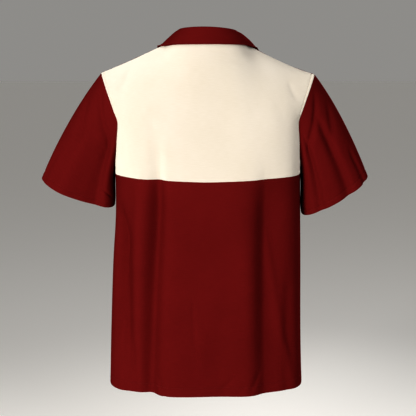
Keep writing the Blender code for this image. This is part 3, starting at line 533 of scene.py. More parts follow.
def clothMesh(name, outer, thick, uv, closed=False, inner=None):
    # a thin closed shell: outer skin, inner skin and a rounded rim. Its uv is in metres, with one column
    # more where the cloth closes round
    rows, columns = outer.shape[:2]
    if inner is None:
        inner = outer - gridNormals(outer, closed) * thick
    beyond = np.zeros_like(outer)
    beyond[0] += unit(outer[0] - outer[1])
    beyond[-1] += unit(outer[-1] - outer[-2])
    if not closed:
        beyond[:, 0] += unit(outer[:, 0] - outer[:, 1])
        beyond[:, -1] += unit(outer[:, -1] - outer[:, -2])
    ii, jj = np.mgrid[0 : rows - 1, 0 : columns if closed else columns - 1]
    kk = (jj + 1) % columns
    a, b, c, d = ii * columns + jj, ii * columns + kk, (ii + 1) * columns + kk, (ii + 1) * columns + jj
    skin = np.stack([a, b, c, d], -1).reshape(-1, 4)
    count = rows * columns
    width = uv.shape[1]
    cornersUv = [ii * width + jj, ii * width + jj + 1, (ii + 1) * width + jj + 1, (ii + 1) * width + jj]
    skinUv = np.stack(cornersUv, -1).reshape(-1, 4)
    faces, facesUv = [skin, skin[:, ::-1] + count], [skinUv, skinUv[:, ::-1]]
    middles, base = [], 2 * count
    for loop in perimeter(rows, columns, closed):
        at = np.array([i * columns + j for i, j in loop])
        atUv = np.array([i * width + j for i, j in loop])
        out, back = (np.array([skinGrid[p] for p in loop]) for skinGrid in (outer, inner))
        bulge = np.array([beyond[p] for p in loop]) * np.linalg.norm(out - back, axis=1, keepdims=True) * 0.35
        middles.append((out + back) / 2 + bulge)
        rim, nxt, nxtUv = base + np.arange(len(loop)), np.roll(at, -1), np.roll(atUv, -1)
        nxtRim = np.roll(rim, -1)
        faces.append(np.stack([nxt, at, rim, nxtRim], -1))
        faces.append(np.stack([nxtRim, rim, at + count, nxt + count], -1))
        facesUv += [np.stack([nxtUv, atUv, atUv, nxtUv], -1)] * 2
        base += len(loop)
    points = np.concatenate([outer.reshape(-1, 3), inner.reshape(-1, 3)] + middles) * cm
    mesh = bpy.data.meshes.new(name)
    mesh.from_pydata(points.tolist(), [], np.concatenate(faces).tolist())
    layer = mesh.uv_layers.new(name="clothUv")
    places = uv.reshape(-1, 2)[np.concatenate(facesUv).ravel()]
    layer.data.foreach_set("uv", places.astype(np.float32).ravel())
    mesh.shade_smooth()
    mesh.set_sharp_from_angle(angle=math.radians(70))
    return linked(name, mesh)


def seat(obj, slotName, finish, *nodes):
    obj.data.materials.clear()
    obj.data.materials.append(finish)
    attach(obj, "root")
    if nodes:
        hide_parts(*nodes)


def areaOf(grid, closed=False):
    wide = np.roll(grid, -1, axis=1) - grid if closed else np.diff(grid, axis=1)
    tall = np.diff(grid, axis=0)
    wide = wide[:-1] if closed else wide[:-1, :]
    tall = tall if closed else tall[:, :-1]
    return float(np.linalg.norm(np.cross(wide, tall), axis=2).sum()) * cm * cm


threads = {"maroon": [], "cream": []}  # each stitch: place, way along, outward


def sew(line, normals, colour, pitch=0.3, start=0.15, end=0.15):
    # a row of lockstitches along a line
    lengths = gone(line)
    for at in np.arange(start, lengths[-1] - end, pitch):
        place, ahead = onLine(line, lengths, at), onLine(line, lengths, at + 0.1)
        threads[colour].append((place, unit(ahead - place), unit(onLine(normals, lengths, at))))


# Finishes
palette = {
    "maroon": "641a1a", "maroonDeep": "5b1717", "cream": "d9d2c8", "creamDeep": "d1c9bc",
    "thread": "6c1c1b", "creamThread": "f3e3c6", "button": "3c0b0c", "buttonCloud": "5a1a18",
}


def toLinear(code):
    parts = [int(code[k : k + 2], 16) / 255 for k in (0, 2, 4)]
    return tuple(c / 12.92 if c <= 0.04045 else ((c + 0.055) / 1.055) ** 2.4 for c in parts) + (1,)


def setInputs(tree, node, inputs):
    for name, value in inputs.items():
        if isinstance(value, bpy.types.NodeSocket):
            tree.links.new(value, node.inputs[name])
        else:
            node.inputs[name].default_value = value


def addNode(tree, kind, inputs=None, **settings):
    node = tree.nodes.new(kind)
    for name, value in settings.items():
        setattr(node, name, value)
    setInputs(tree, node, inputs or {})
    return node


def newMaterial(name):
    made = bpy.data.materials.new(name)
    made.use_nodes = True
    tree = made.node_tree
    return made, tree, tree.nodes["Principled BSDF"]


def poplin(name, code, deeper, sheen, rough, fuzz):
    # cotton and polyester poplin, plain woven and pressed: a matt face with a faint silky bloom at
    # glancing angles, and threads that show only close up
    made, tree, shader = newMaterial(name)
    uv = addNode(tree, "ShaderNodeUVMap", uv_map="clothUv").outputs["UV"]
    where = addNode(tree, "ShaderNodeTexCoord").outputs["Object"]
    apart = addNode(tree, "ShaderNodeSeparateXYZ", {0: uv})
    threadSize = 0.0007  # metres; the real 0.35 mm is too fine to show, so it is drawn twice as coarse
    waves = []
    for axis in "XY":
        along = {0: apart.outputs[axis], 1: math.pi / threadSize}
        turn = addNode(tree, "ShaderNodeMath", along, operation="MULTIPLY")
        waves.append(addNode(tree, "ShaderNodeMath", {0: turn.outputs[0]}, operation="SINE").outputs[0])
    weave = addNode(tree, "ShaderNodeMath", {0: waves[0], 1: waves[1]}, operation="MULTIPLY").outputs[0]
    stretched = addNode(tree, "ShaderNodeMapping", {"Vector": uv, "Scale": (60, 900, 1)})
    slub = addNode(tree, "ShaderNodeTexNoise", {"Vector": stretched.outputs[0], "Scale": 1.0, "Detail": 2})
    cloud = addNode(tree, "ShaderNodeTexNoise", {"Vector": where, "Scale": 9.0, "Detail": 3})
    tone = addNode(tree, "ShaderNodeMath", {0: cloud.outputs[0], 1: slub.outputs[0]}, operation="ADD")
    ramp = addNode(tree, "ShaderNodeMapRange", {0: tone.outputs[0], 1: 0.6, 2: 1.4, 3: 0.0, 4: 1.0})
    tones = {"Factor": ramp.outputs[0], 6: toLinear(deeper), 7: toLinear(code)}
    mixed = addNode(tree, "ShaderNodeMix", tones, data_type="RGBA")
    coarse = addNode(tree, "ShaderNodeTexNoise", {"Vector": where, "Scale": 55.0, "Detail": 4})
    soft = addNode(tree, "ShaderNodeBump", {"Height": coarse.outputs[0], "Strength": 0.12, "Distance": 0.002})
    over = {"Height": weave, "Strength": 0.25, "Distance": 0.0001, "Normal": soft.outputs[0]}
    fine = addNode(tree, "ShaderNodeBump", over)
    uneven = addNode(tree, "ShaderNodeMapRange", {0: slub.outputs[0], 3: rough - 0.05, 4: rough + 0.05})
    setInputs(tree, shader, {
        "Base Color": mixed.outputs[2],
        "Normal": fine.outputs[0],
        "Roughness": uneven.outputs[0],
        "Diffuse Roughness": fuzz,  # short fibres even out the pale cloth's shading
        "IOR": 1.45,
        "Specular IOR Level": 0.0,  # matt: no gloss along the cloth's outer edges
        "Sheen Weight": sheen,
        "Sheen Roughness": 0.45,
        "Sheen Tint": toLinear(code),
    })
    return made


def spunThread(name, code):
    # spun polyester sewing thread: twisted, with a slight lustre
    made, tree, shader = newMaterial(name)
    where = addNode(tree, "ShaderNodeTexCoord").outputs["Object"]
    noise = addNode(tree, "ShaderNodeTexNoise", {"Vector": where, "Scale": 900.0})
    twist = addNode(tree, "ShaderNodeBump", {"Height": noise.outputs[0], "Strength": 0.4, "Distance": 0.0002})
    setInputs(tree, shader, {
        "Base Color": toLinear(code),
        "Normal": twist.outputs[0],
        "Roughness": 0.6,
        "Specular IOR Level": 0.12,
        "Sheen Weight": 0.03,
    })
    return made


def castPolyester(name, code, cloud):
    # cast polyester resin, turned and polished: a deep gloss with faint clouds under it
    made, tree, shader = newMaterial(name)
    where = addNode(tree, "ShaderNodeTexCoord").outputs["Object"]
    drift = {"Vector": where, "Scale": 260.0, "Detail": 3, "Distortion": 1.2}
    clouds = addNode(tree, "ShaderNodeTexNoise", drift)
    tones = {"Factor": clouds.outputs[0], 6: toLinear(code), 7: toLinear(cloud)}
    mixed = addNode(tree, "ShaderNodeMix", tones, data_type="RGBA")
    setInputs(tree, shader, {
        "Base Color": mixed.outputs[2],
        "IOR": 1.56,
        "Roughness": 0.22,
        "Coat Weight": 0.3,
        "Coat Roughness": 0.08,
    })
    return made


finishes = {
    "maroon": poplin("maroonPoplin", palette["maroon"], palette["maroonDeep"], 0.015, 0.8, 0.0),
    "cream": poplin("creamPoplin", palette["cream"], palette["creamDeep"], 0.03, 0.8, 1.0),
    "maroonThread": spunThread("maroonThread", palette["thread"]),
    "creamThread": spunThread("creamThread", palette["creamThread"]),
    "button": castPolyester("castPolyesterButton", palette["button"], palette["buttonCloud"]),
}
print("shirt: finishes ready")

# Back panels
backFolds = (
    (10.2, -15, 12.3, -75, 1.3, 2.1, -2.05, 0.3, 1.0, 1),
    (14.0, -20, 16.4, -78, 1.7, 2.3, 1.0, 0.3, 1.2, 1),
    (20.4, -30, 20.9, -62, 1.2, 1.6, -0.7, 0, 1, 0),
    (5.8, -24, 7.6, -78, 2.4, 3.6, 0.36, 0, 1.3, 1),
    (-6.8, -22, -11.6, -76, 2.2, 3.2, 0.4, -0.3, 1.0, 1),
    (-12.2, -20, -13.2, -76, 2.1, 2.8, -2.0, 0, 2.2, 1),
    (-12.2, -34, -19.0, -70, 0.8, 1.3, 0.26, -0.2, 1, 0),
    (-18.4, -44, -19.4, -78, 1.2, 1.8, -0.42, 0, 1, 1),
    (-3.6, -46, -2.2, -80, 1.8, 3.0, -0.3, 0, 1, 1),
    (21.6, -30, 17.2, -66, 1.8, 3.0, -2.0, 0.6, 1.5, 1),
    (19.6, -53, 18.9, -76, 1.0, 1.3, 0.36, 0, 1, 1),
    (16.2, -58, 15.4, -78, 1.0, 1.5, -0.4, 0, 1, 1),
    (2.9, -50, 2.4, -63, 0.4, 0.5, -0.1, 0.1, 1, 0),
    (0.6, -56, 1.4, -70, 0.9, 1.2, 0.1, 0.2, 1, 0),
    (10.9, -67.2, 8.6, -72.4, 0.45, 0.35, -0.24, 0.1, 1.6, 1),
    (-2.4, -71.2, -6.4, -67.2, 0.4, 0.5, -0.2, -0.2, 1.5, 0),
    (-6.0, -71.6, -8.8, -69.4, 0.35, 0.4, -0.12, -0.1, 1.4, 0),
    (-8.9, -71.8, -11.8, -66.2, 0.4, 0.6, -0.26, -0.2, 1.5, 0),
    (-17.8, -60, -20.2, -72, 0.8, 1.2, 0.26, 0.2, 1, 1),
)
# Creases of the pale upper back, by place across and level
yokeCreases = (
    (3.5, -0.6, -7.2, -1.6, 0.45, 0.45, -0.1, 0.15, 1, 0),
    (1.6, -2.4, -9.4, -3.3, 0.45, 0.55, -0.12, 0.2, 1.4, 0),
    (11.6, -12, 11.0, -25, 0.8, 1.0, -0.12, 0.1, 1, 0),
    (16.0, -3.4, 19.0, -10.4, 0.55, 0.75, -0.17, 0.2, 1.5, 0),
    (-16.4, -6.6, -18.9, -11.4, 0.5, 0.6, -0.13, -0.2, 1.4, 0),
    (13.2, -8.6, 16.6, -16.8, 0.8, 1.0, -0.08, 0.3, 1.3, 0),
    (-13.6, -9.2, -16.8, -17.6, 0.8, 1.0, -0.08, -0.3, 1.3, 0),
)

base = {"back": backBase(), "left": frontBase("left"), "right": frontBase("right")}
seamRow, underarmRow = lowerRows, lowerRows + 1
hemLine, edgeLine = cloth["bodyHem"] - cloth["hemStitch"], cloth["topstitch"]
crossLine = -0.4  # stitches below the cross seam
edgeLines = (edgeLine, -edgeLine)
lowerBack = finePanel(base["back"], 0, seamRow, (hemLine, crossLine), (), (True, True))
upperBack = finePanel(base["back"], seamRow, len(base["back"]) - 1, (), edgeLines, (True, True), backTop)


def finishPanel(panel, name, slotName, node, grid, across, hemmed=True):
    # turns up the hem and makes the panel's piece
    panel["grid"], panel["normals"], down = grid, gridNormals(grid), panel["rows"]
    if hemmed:
        grid, down = turnedHem(grid, panel["normals"], down, cloth["bodyHem"])
    panel["object"] = clothMesh(name, grid, cloth["thick"], uvGrid(across, down))
    panel["area"] = areaOf(grid)
    seat(panel["object"], slotName, finishes[slotName], node)


def dressBack(panel, name, slotName, low):
    grid, girth, rows, columns = (panel[k] for k in ("grid", "girth", "rows", "columns"))
    normals, sink, up = gridNormals(grid), sinks[name], rows - rows[0]
    height = foldHeight(backFolds, girth, grid[:, :, 2])
    height += slack(girth, grid[:, :, 2], seeds["backSlack"], cloth["slack"])
    if not low:
        height += foldHeight(yokeCreases, grid[:, :, 0], grid[:, :, 2]) * (grid[:, :, 1] > -1)
        for fromEdge, seed in zip((columns, columns[-1] - columns), seeds["backArmholes"]):
            height += armholePuckers(rows, fromEdge, seed)
    height -= edgeSink(columns, columns[-1], sink["side"], sink["side"], panel["columnLines"])[None]
    height -= edgeSink(up, up[-1], sink["foot"], sink["head"], panel["rowLines"])[:, None]
    if low:
        height += hemPuckers(girth, up[:, None] * np.ones_like(girth), cloth["bodyHem"], seeds["backHem"])
        nearSeam = np.exp(-((up[-1] - up) / 0.9))[:, None]
        height += seams["crossWave"] * wobble(girth, seeds["seamBelow"], 0.8) * nearSeam
    else:
        nearSeam = np.exp(-(up / 1.2))[:, None]
        height += seams["crossWave"] * wobble(girth, seeds["seamAbove"], 0.8) * nearSeam
    grid = grid + normals * height[:, :, None]
    finishPanel(panel, name, slotName, "back_lower" if low else "back_upper", grid, columns, low)


dressBack(lowerBack, "lowerBack", "maroon", True)
dressBack(upperBack, "upperBack", "cream", False)
print("shirt: back", len(lowerBack["grid"]), len(upperBack["grid"]))

# Fronts
frontFolds = (
    (9.6, -14, 11.4, -78, 1.5, 2.5, -0.7, 0.3, 1.2, 1),
    (16.4, -34, 15.4, -78, 1.2, 2.0, -0.35, 0, 1, 1),
    (5.4, -36, 6.0, -78, 1.4, 2.2, 0.25, 0, 1, 1),
    (-10.2, -16, -9.2, -78, 1.5, 2.5, -0.6, 0.3, 1, 1),
    (-16.0, -30, -16.8, -78, 1.3, 2.1, -0.4, -0.2, 1, 1),
    (-5.6, -40, -5.0, -78, 1.2, 2.0, 0.2, 0, 1, 1),
    (20.4, -44, 14.5, -67, 0.9, 1.6, -0.26, 0.4, 1.4, 0),
    (12.6, -67.4, 13.6, -72.2, 0.4, 0.4, -0.13, 0.1, 1.5, 1),
    (7.2, -71, 5.1, -67.2, 0.4, 0.5, -0.12, 0.2, 1.5, 0),
    (-13.0, -71.4, -10.8, -67, 0.4, 0.5, -0.14, 0.2, 1.5, 0),
    (-19.6, -56, -18.4, -72, 0.8, 1.2, 0.2, 0.2, 1, 1),
)

fronts = {}
for side in ("left", "right"):
    hand = hands[side]
    last, sewn = len(base[side]) - 1, (False, True)
    panel = finePanel(base[side], 0, last, (hemLine,), (-edgeLine,), sewn, lambda s: shoulder(side, s))
    grid, girth, rows, columns = (panel[k] for k in ("grid", "girth", "rows", "columns"))
    chestAt, topAt = panel["knots"][underarmRow + chestRows], panel["knots"][-1]
    if side == "right":
        own = -girth
        over = opening["overlap"]
        sunk = opening["underlap"] * (1 - smoothstep(over + 0.15, over + opening["underlapRun"], own))
        grid[:, :, 1] += sunk * (1 - smoothstep(chestAt, topAt, rows))[:, None]
    normals, sink = gridNormals(grid) * hand, sinks["front"]
    height = foldHeight(frontFolds, girth, grid[:, :, 2])
    height += slack(girth, grid[:, :, 2], seeds["frontSlack"], cloth["slack"])
    aboveArm = smoothstep(panel["knots"][underarmRow] - 0.5, panel["knots"][underarmRow] + 0.5, rows)[:, None]
    height -= edgeSink(columns, columns[-1], 0, sink["side"])[None]
    height -= edgeSink(rows, rows[-1], sink["foot"], sink["head"], (hemLine,))[:, None]
    height -= edgeSink(columns, columns[-1], 0, 0, (-edgeLine,))[None] * aboveArm
    height += armholePuckers(rows, columns[-1] - columns, seeds["frontArmhole"]) * aboveArm
    up = rows[:, None] * np.ones_like(girth)
    height += hemPuckers(girth, up, cloth["bodyHem"], seeds["frontHem"][side])
    grid = grid + normals * height[:, :, None]
    if side == "right":
        grid, columns = grid[:, ::-1], columns[-1] - columns[::-1]
    finishPanel(panel, "front" + side.title(), "maroon", "front_" + side, grid, columns)
    fronts[side] = panel
print("shirt: fronts")


# Sleeves
sleeves = {
    "left": {
        "outer": (35.3, -27.5), "inner": (19.95, -33.3), "backDrop": 1.3, "frontDrop": 0.7, "cap": 0.35,
    },
    "right": {
        "outer": (33.9, -27.0), "inner": (19.95, -35.0), "backDrop": 1.5, "frontDrop": 0.8, "cap": 0.38,
    },
}
cuff = {"halfDepth": 5.2, "wrap": 0.75, "square": 2.3, "shift": 0.3, "underarmLift": 0.07, "columns": 160}
# Folds of a sleeve: turn round it in degrees (0 underarm, 90 back, 180 top) and share of its length
sleeveFolds = {
    "left": (
        (76, 0.06, 64, 1.1, 8, 12, -1.35, 2, 2.6, 1),
        (120, 0.25, 112, 1.1, 10, 15, 0.4, 0, 1, 1),
        (156, 0.03, 58, 0.27, 4, 6, -0.5, 4, 1.3, 0),
        (166, 0.16, 120, 0.5, 5, 8, -0.3, 0, 1.4, 0),
        (72, 0.68, 22, 0.76, 3, 3, -0.25, 2, 1, 0),
        (250, 0.1, 262, 1.1, 9, 14, -0.6, 0, 1, 1),
        (318, 0.2, 300, 1.1, 8, 12, -0.3, 0, 1, 1),
        (150, 0.55, 160, 1.1, 6, 8, -0.12, 0, 1, 1),
    ),
    "right": (
        (122, 0.12, 112, 1.1, 8, 12, -1.0, 0, 0.6, 1),
        (84, 0.06, 70, 1.1, 8, 12, -0.8, 0, 0.6, 1),
        (150, 0.04, 66, 0.3, 4, 6, -0.4, 4, 1.3, 0),
        (160, 0.2, 110, 0.55, 5, 8, -0.3, 0, 1.4, 0),
        (146, 0.6, 150, 1.1, 5, 7, -0.4, 0, 1, 1),
        (262, 0.1, 254, 1.1, 8, 12, -0.55, 0, 1, 1),
        (306, 0.3, 312, 1.1, 9, 13, -0.35, 0, 1, 1),
    ),
}
# Ways that a sleeve's cloth leaves the armhole and reaches the cuff, on the wearer's left
sleeveWay = {"crown": (1, 0, -0.35), "underarm": (0.21, 0, 0), "cuff": (0.34, 0, -1)}


def cuffLine(side, turns):
    s, angle = sleeves[side], np.radians(turns)
    cosine, sine = np.cos(angle), np.sin(angle)
    out = -np.sign(cosine) * np.abs(cosine) ** (2 / cuff["square"])
    behind = np.sign(sine) * np.abs(sine) ** (2 / cuff["square"])
    outer, inner = (np.array([s[k][0], 0, s[k][1]]) for k in ("outer", "inner"))
    place = (outer + inner) / 2 + (outer - inner) / 2 * out[:, None]
    place[:, 1] += cuff["halfDepth"] * behind + cuff["shift"]
    place[:, 2] -= np.where(behind > 0, s["backDrop"], s["frontDrop"]) * np.abs(behind) ** 1.6
    place[:, 0] -= cuff["wrap"] * behind**2 * (1 - out) / 2
    return place * (hands[side], 1, 1)


def armholeRing(side, turns):
    # the panels' finished armhole edges as one ring: places, outward normals and ways off the panels
    backEdge, frontEdge = (0, -1) if side == "left" else (-1, 0)
    halves = []
    for panel, column in ((upperBack, backEdge), (fronts[side], frontEdge)):
        beside = 1 if column == 0 else -2
        lowest = int(np.argmin(abs(panel["rows"] - panel["knots"][underarmRow])))
        line = panel["grid"][lowest:, column]
        halves.append((line, panel["normals"][lowest:, column], unit(line - panel["grid"][lowest:, beside])))
    ring = []
    for k in range(3):
        values = []
        for half, share in zip(halves, (turns / 180, (360 - turns) / 180)):
            lengths = gone(half[0])
            values.append(onLine(half[k], lengths, share * lengths[-1]))
        ring.append(np.where((turns <= 180)[:, None], values[0], values[1]))
    return ring[0], unit(ring[1]), unit(ring[2])


def sleeve(side):
    s, count, mirror = sleeves[side], cuff["columns"], (hands[side], 1, 1)
    turns = np.arange(count) * 360 / count
    place, outward, away = armholeRing(side, turns)
    low = np.abs(np.cos(np.radians(turns / 2)))[:, None] ** 6  # 1 at the underarm
    crown = np.sin(np.radians(turns / 2))[:, None] ** 2  # 1 at the shoulder
    gap = cloth["gap"] * (1 - low)
    start = place + away * gap + outward * (cuff["underarmLift"] * low - gap)
    end = cuffLine(side, turns)
    span = np.linalg.norm(end - start, axis=1, keepdims=True)
    leave = unit(unit(end - start) + s["cap"] * crown * unit(sleeveWay["crown"]) * mirror)
    leave = unit(leave + (1 - crown) * low * np.array(sleeveWay["underarm"]) * mirror)
    reach = unit(np.array(sleeveWay["cuff"]) * mirror + 0.5 * unit(end - start))
    long = float(span.mean())
    cuffStitch = cloth["sleeveHem"] - cloth["hemStitch"]
    rows = spots(long, cloth["step"], False, True, (cuffStitch,))
    t = (1 - rows / long)[:, None, None]
    grid = hermite(start[None], (leave * span * 0.9)[None], end[None], (reach * span * 0.8)[None], t)
    normals = gridNormals(grid, True)
    facing = np.sign((normals * (grid - grid.mean(axis=1, keepdims=True))).sum(axis=2).mean())
    normals = normals * facing
    perTurn = np.linalg.norm(np.diff(grid[0], axis=0), axis=1).sum() / 360
    u = np.broadcast_to(turns[None] * perTurn, grid.shape[:2])
    v = np.broadcast_to(((1 - rows / long) * long)[:, None], grid.shape[:2])
    # the table's turns and shares of the length become centimetres
    sizes = (perTurn, long, perTurn, long, perTurn, perTurn, 1, perTurn, 1, 1)
    height = foldHeight([[n * size for n, size in zip(row, sizes)] for row in sleeveFolds[side]], u, v)
    loose = smoothstep(0, 3, v) * np.sin(np.radians(turns / 2))[None]
    height += slack(u, v, seeds["sleeveSlack"], cloth["slack"]) * loose
    height += hemPuckers(u, rows[:, None] * np.ones_like(u), cloth["sleeveHem"], seeds["sleeveHem"][side])
    height += seams["headWave"] * wobble(u, seeds["sleeveHead"], 0.7) * np.exp(-v)
    height -= edgeSink(rows, long, 0, 0, (cuffStitch,))[:, None] + seams["underarm"] * (turns == 0)[None]
    grid = grid + normals * height[:, :, None]
    if facing < 0:
        grid = grid[:, ::-1]
    normals = gridNormals(grid, True)
    folded, v = turnedHem(grid, normals, rows, cloth["sleeveHem"])
    wide = np.arange(count + 1) * 360 / count * perTurn
    piece = clothMesh("sleeve" + side.title(), folded, cloth["thick"], uvGrid(wide, v), closed=True)
    seat(piece, "maroon", finishes["maroon"], "sleeve_" + side)
    at = int(np.argmin(abs(rows - cuffStitch)))
    sew(np.vstack([grid[at], grid[at, :1]]), np.vstack([normals[at], normals[at, :1]]), "maroon")
    return {"grid": grid, "object": piece, "area": areaOf(folded, True)}


arms = {side: sleeve(side) for side in ("left", "right")}
print("shirt: sleeves")


# Collar and lapels: each is a J-shaped section that rises from the panel's rim, rolls over and lies down.
# Collar, from the gorge (0) by the neck point (1) to the centre back (2): the top of its stand, the place on
# the body under its edge, and the roundness of its fall
collar = {
    "at": (0, 0.35, 0.7, 1, 1.3, 1.65, 2),
    "topX": (4.7, 5.8, 6.3, 6.3, 5.8, 3.6, 0),
    "topY": (-7.6, -5.7, -3.2, -0.7, 2.6, 5.4, 6.2),
    "topZ": (-4.25, -1.5, 1.1, 2.7, 3.3, 3.75, 3.85),
    "edgeX": (11.3, 12, 11.3, 9.9, 8.2, 5.1, 0),
    "edgeY": (-7.9, -5.6, -2.8, 0.4, 3.5, 7.0, 8.5),
    "edgeZ": (-7.6, -4.6, -1.6, 0.2, 0.5, 0.6, 0.7),
    "bulge": (0.3, 0.32, 0.4, 0.45, 0.3, 0.08, 0),
}
collarShape = {
    "roll": 0.3, "rightDrop": 0.3, "rightBulge": 0.3, "lift": 0.5, "gorge": 5 / 9,
    "firstOver": 8,  # the first point of a section that is kept off the body
    "settle": 0.08,  # how much nearer than its edge the fall may lie
}
lapels = {
    "left": {
        "at": (0, 0.35, 0.7, 1),
        "edgeX": (10.3, 7.6, 3.7, 0.2),
        "edgeY": (-8.9, -10.4, -11.7, -12.1),
        "edgeZ": (-9.0, -11.2, -13.6, -15.4),
        "bulge": (0.3, 0.28, 0.15, 0.02),
    },
    "right": {
        "at": (0, 0.35, 0.7, 1),
        "edgeX": (-10.3, -7.9, -4.9, -2.4),
        "edgeY": (-8.9, -10.3, -11.4, -11.9),
        "edgeZ": (-9.2, -11.2, -13.3, -14.3),
        "bulge": (0.3, 0.28, 0.15, 0.05),
    },
}
lapelShape = {
    "roll": 0.27, "lift": 0.4, "stations": 12, "stand": 0.12, "notch": 0.006,
    "start": {"left": 0.02, "right": 0.26},  # where the front's edge turns back, from the break up
    "firstOver": 6, "settle": 0.08,
}


def skinTree(panels):
    points, faces = [], []
    for grid in panels:
        rows, columns = grid.shape[:2]
        start = len(points)
        points += grid.reshape(-1, 3).tolist()
        for i in range(rows - 1):
            corner = start + i * columns
            faces += [(corner + j, corner + j + 1, corner + columns + j + 1, corner + columns + j)
                      for j in range(columns - 1)]
    return BVHTree.FromPolygons(points, faces)


bodyTree = skinTree([p["grid"][::3, ::3] for p in (lowerBack, upperBack, fronts["left"], fronts["right"])])


def keptOff(place, lift):
    for _ in range(3):
        near, normal, _, gap = bodyTree.find_nearest(Vector(place))
        height = float(np.dot(place - np.array(near), normal))
        if gap >= lift and (height > 0 or abs(height) < 0.9 * gap):
            break
        place = place + np.array(normal) * (lift - height)
    return place


def laidOn(place, lift):
    near, normal, _, _ = bodyTree.find_nearest(Vector(place))
    return np.array(near) + np.array(normal) * lift


def rimFrames(outer, leaning, hand):
    frames = []
    for point, out, way in zip(outer, leaning, np.gradient(outer, axis=0)):
        away = unit(np.cross(out, unit(way))) * hand
        frames.append((point - out * cloth["thick"] + away * cloth["gap"], point + away * cloth["gap"], away))
    return frames


def frontRim(side, low, high, count):
    # the front's upper edge, from the break (0) to the neck point (1)
    panel = fronts[side]
    first = underarmRow + chestRows
    row = first + np.linspace(low, high, count) * upperRows
    at = np.interp(row, np.arange(len(panel["knots"])), panel["knots"])
    column = 0 if side == "left" else -1
    outer, leaning = (onLine(panel[k][:, column], panel["rows"], at) for k in ("grid", "normals"))
    return rimFrames(outer, unit(leaning), hands[side])


def neckRim():
    columns = upperBack["columns"] / upperBack["columns"][-1]
    at = np.linspace(0.3, 0.7, 25)
    outer, leaning = (onLine(upperBack[k][-1], columns, at) for k in ("grid", "normals"))
    return rimFrames(outer, unit(leaning), 1)


def flapSection(start, top, edge, roll, bulge):
    # the stand, three places round the roll, then the fall
    riseWay, fall = unit(top - start), edge - top
    outward = unit(fall - riseWay * np.dot(fall, riseWay))
    centre = top + outward * roll
    points = [start, (start + top) / 2, top]
    for k in (1, 2, 3):
        a = math.pi * k / 4
        points.append(centre - outward * roll * math.cos(a) + riseWay * roll * math.sin(a))
    landing = centre + outward * roll
    leave = unit(-riseWay + unit(edge - landing) * 1.6) * np.linalg.norm(edge - landing) * 0.5
    for k in range(6):
        t = k / 5
        fallen = hermite(landing, leave, edge, (edge - landing) * 0.9, t)
        points.append(fallen + outward * bulge * 4 * t * (1 - t))
    return points


def flap(name, node, sections, starts, shape):
    firstOver, lift, edgeStitch = shape["firstOver"], shape["lift"] - shape["settle"], cloth["topstitch"]
    grid = np.array(sections)
    for _ in range(4):  # evens out neighbouring sections
        grid[1:-1, 1:] = (grid[:-2, 1:] + 2 * grid[1:-1, 1:] + grid[2:, 1:]) / 4
    for section in grid:
        for k in range(firstOver, len(section)):
            section[k] = keptOff(section[k], lift)
    rowKnots, columnKnots = distances(grid)
    rows, columns = spots(rowKnots[-1], 0.26), spots(columnKnots[-1], 0.22, False, True, (-edgeStitch,))
    across, up = splineMatrix(columnKnots, columns), splineMatrix(rowKnots, rows)
    hiddenStart = up @ np.array(starts)
    grid = np.einsum("ri,ijk,cj->rck", up, grid, across)
    overAt = columnKnots[firstOver]
    for i in range(len(rows)):
        for j in range(int(np.searchsorted(columns, overAt)), len(columns)):
            grid[i, j] = keptOff(grid[i, j], lift)
    normals = gridNormals(grid)
    # the free edge is a little full, and the cloth dips along its stitches
    height = 0.012 * np.exp(-(((columns[-1] - columns) / 0.25) ** 2))
    height = height - edgeSink(columns, columns[-1], 0, 0, (-edgeStitch,))
    grid = grid + normals * height[None, :, None]
    normals = gridNormals(grid)
    inner = grid - normals * cloth["collarThick"]
    inner[:, 0] = hiddenStart
    uv = uvGrid(rows, columns).transpose(1, 0, 2)
    piece = clothMesh(name, grid, cloth["collarThick"], uv, inner=inner)
    seat(piece, "maroon", finishes["maroon"], node)
    at = int(np.argmin(abs(columns - (columns[-1] - edgeStitch))))
    sew(grid[:, at], normals[:, at], "maroon", 0.3, edgeStitch, edgeStitch)
    return {"grid": grid, "object": piece, "area": areaOf(grid)}


def makeCollar():
    count = 2 * int(round((1 - collarShape["gorge"]) * upperRows)) + 1
    rims = {side: frontRim(side, collarShape["gorge"], 1, count) for side in ("left", "right")}
    behind = neckRim()
    half = len(behind) // 2
    walk = [("left", k / (count - 1), f) for k, f in enumerate(rims["left"][:-1])]
    walk += [("left", 1 + k / half, f) for k, f in enumerate(behind[: half + 1])]
    walk += [("right", 1 + k / half, behind[-1 - k]) for k in range(half - 1, -1, -1)]
    walk += [("right", k / (count - 1), rims["right"][k]) for k in range(count - 2, -1, -1)]
    sections = []
    for side, place, (start, _, _) in walk:
        mirror = (hands[side], 1, 1)
        top, guess = (readPlace(collar, k, place) * mirror for k in ("top", "edge"))
        if side == "right":
            top[2] -= collarShape["rightDrop"] * min(1, 2 * (2 - place))
        edge = laidOn(guess, collarShape["lift"])
        bulge = float(read(collar, "bulge", place))
        if side == "right":
            bulge += collarShape["rightBulge"] * math.exp(-(((place - 1) / 0.4) ** 2))
        sections.append(flapSection(start, top, edge, collarShape["roll"], bulge))
    return flap("collarPiece", "collar", sections, [f[1] for _, _, f in walk], collarShape)


def makeLapel(side):
    table, stations = lapels[side], lapelShape["stations"]
    gorge = collarShape["gorge"] - lapelShape["notch"]
    frames = frontRim(side, lapelShape["start"][side], gorge, stations + 1)
    sections = []
    for k, (start, _, away) in enumerate(frames):
        place = 1 - k / stations
        edge = laidOn(readPlace(table, "edge", place), lapelShape["lift"])
        top = start + away * lapelShape["stand"]
        bulge = float(read(table, "bulge", place))
        sections.append(flapSection(start, top, edge, lapelShape["roll"], bulge))
    starts = [f[1] for f in frames]
    if side == "right":
        sections, starts = sections[::-1], starts[::-1]
    return flap("lapel" + side.title(), "lapel_" + side, sections, starts, lapelShape)


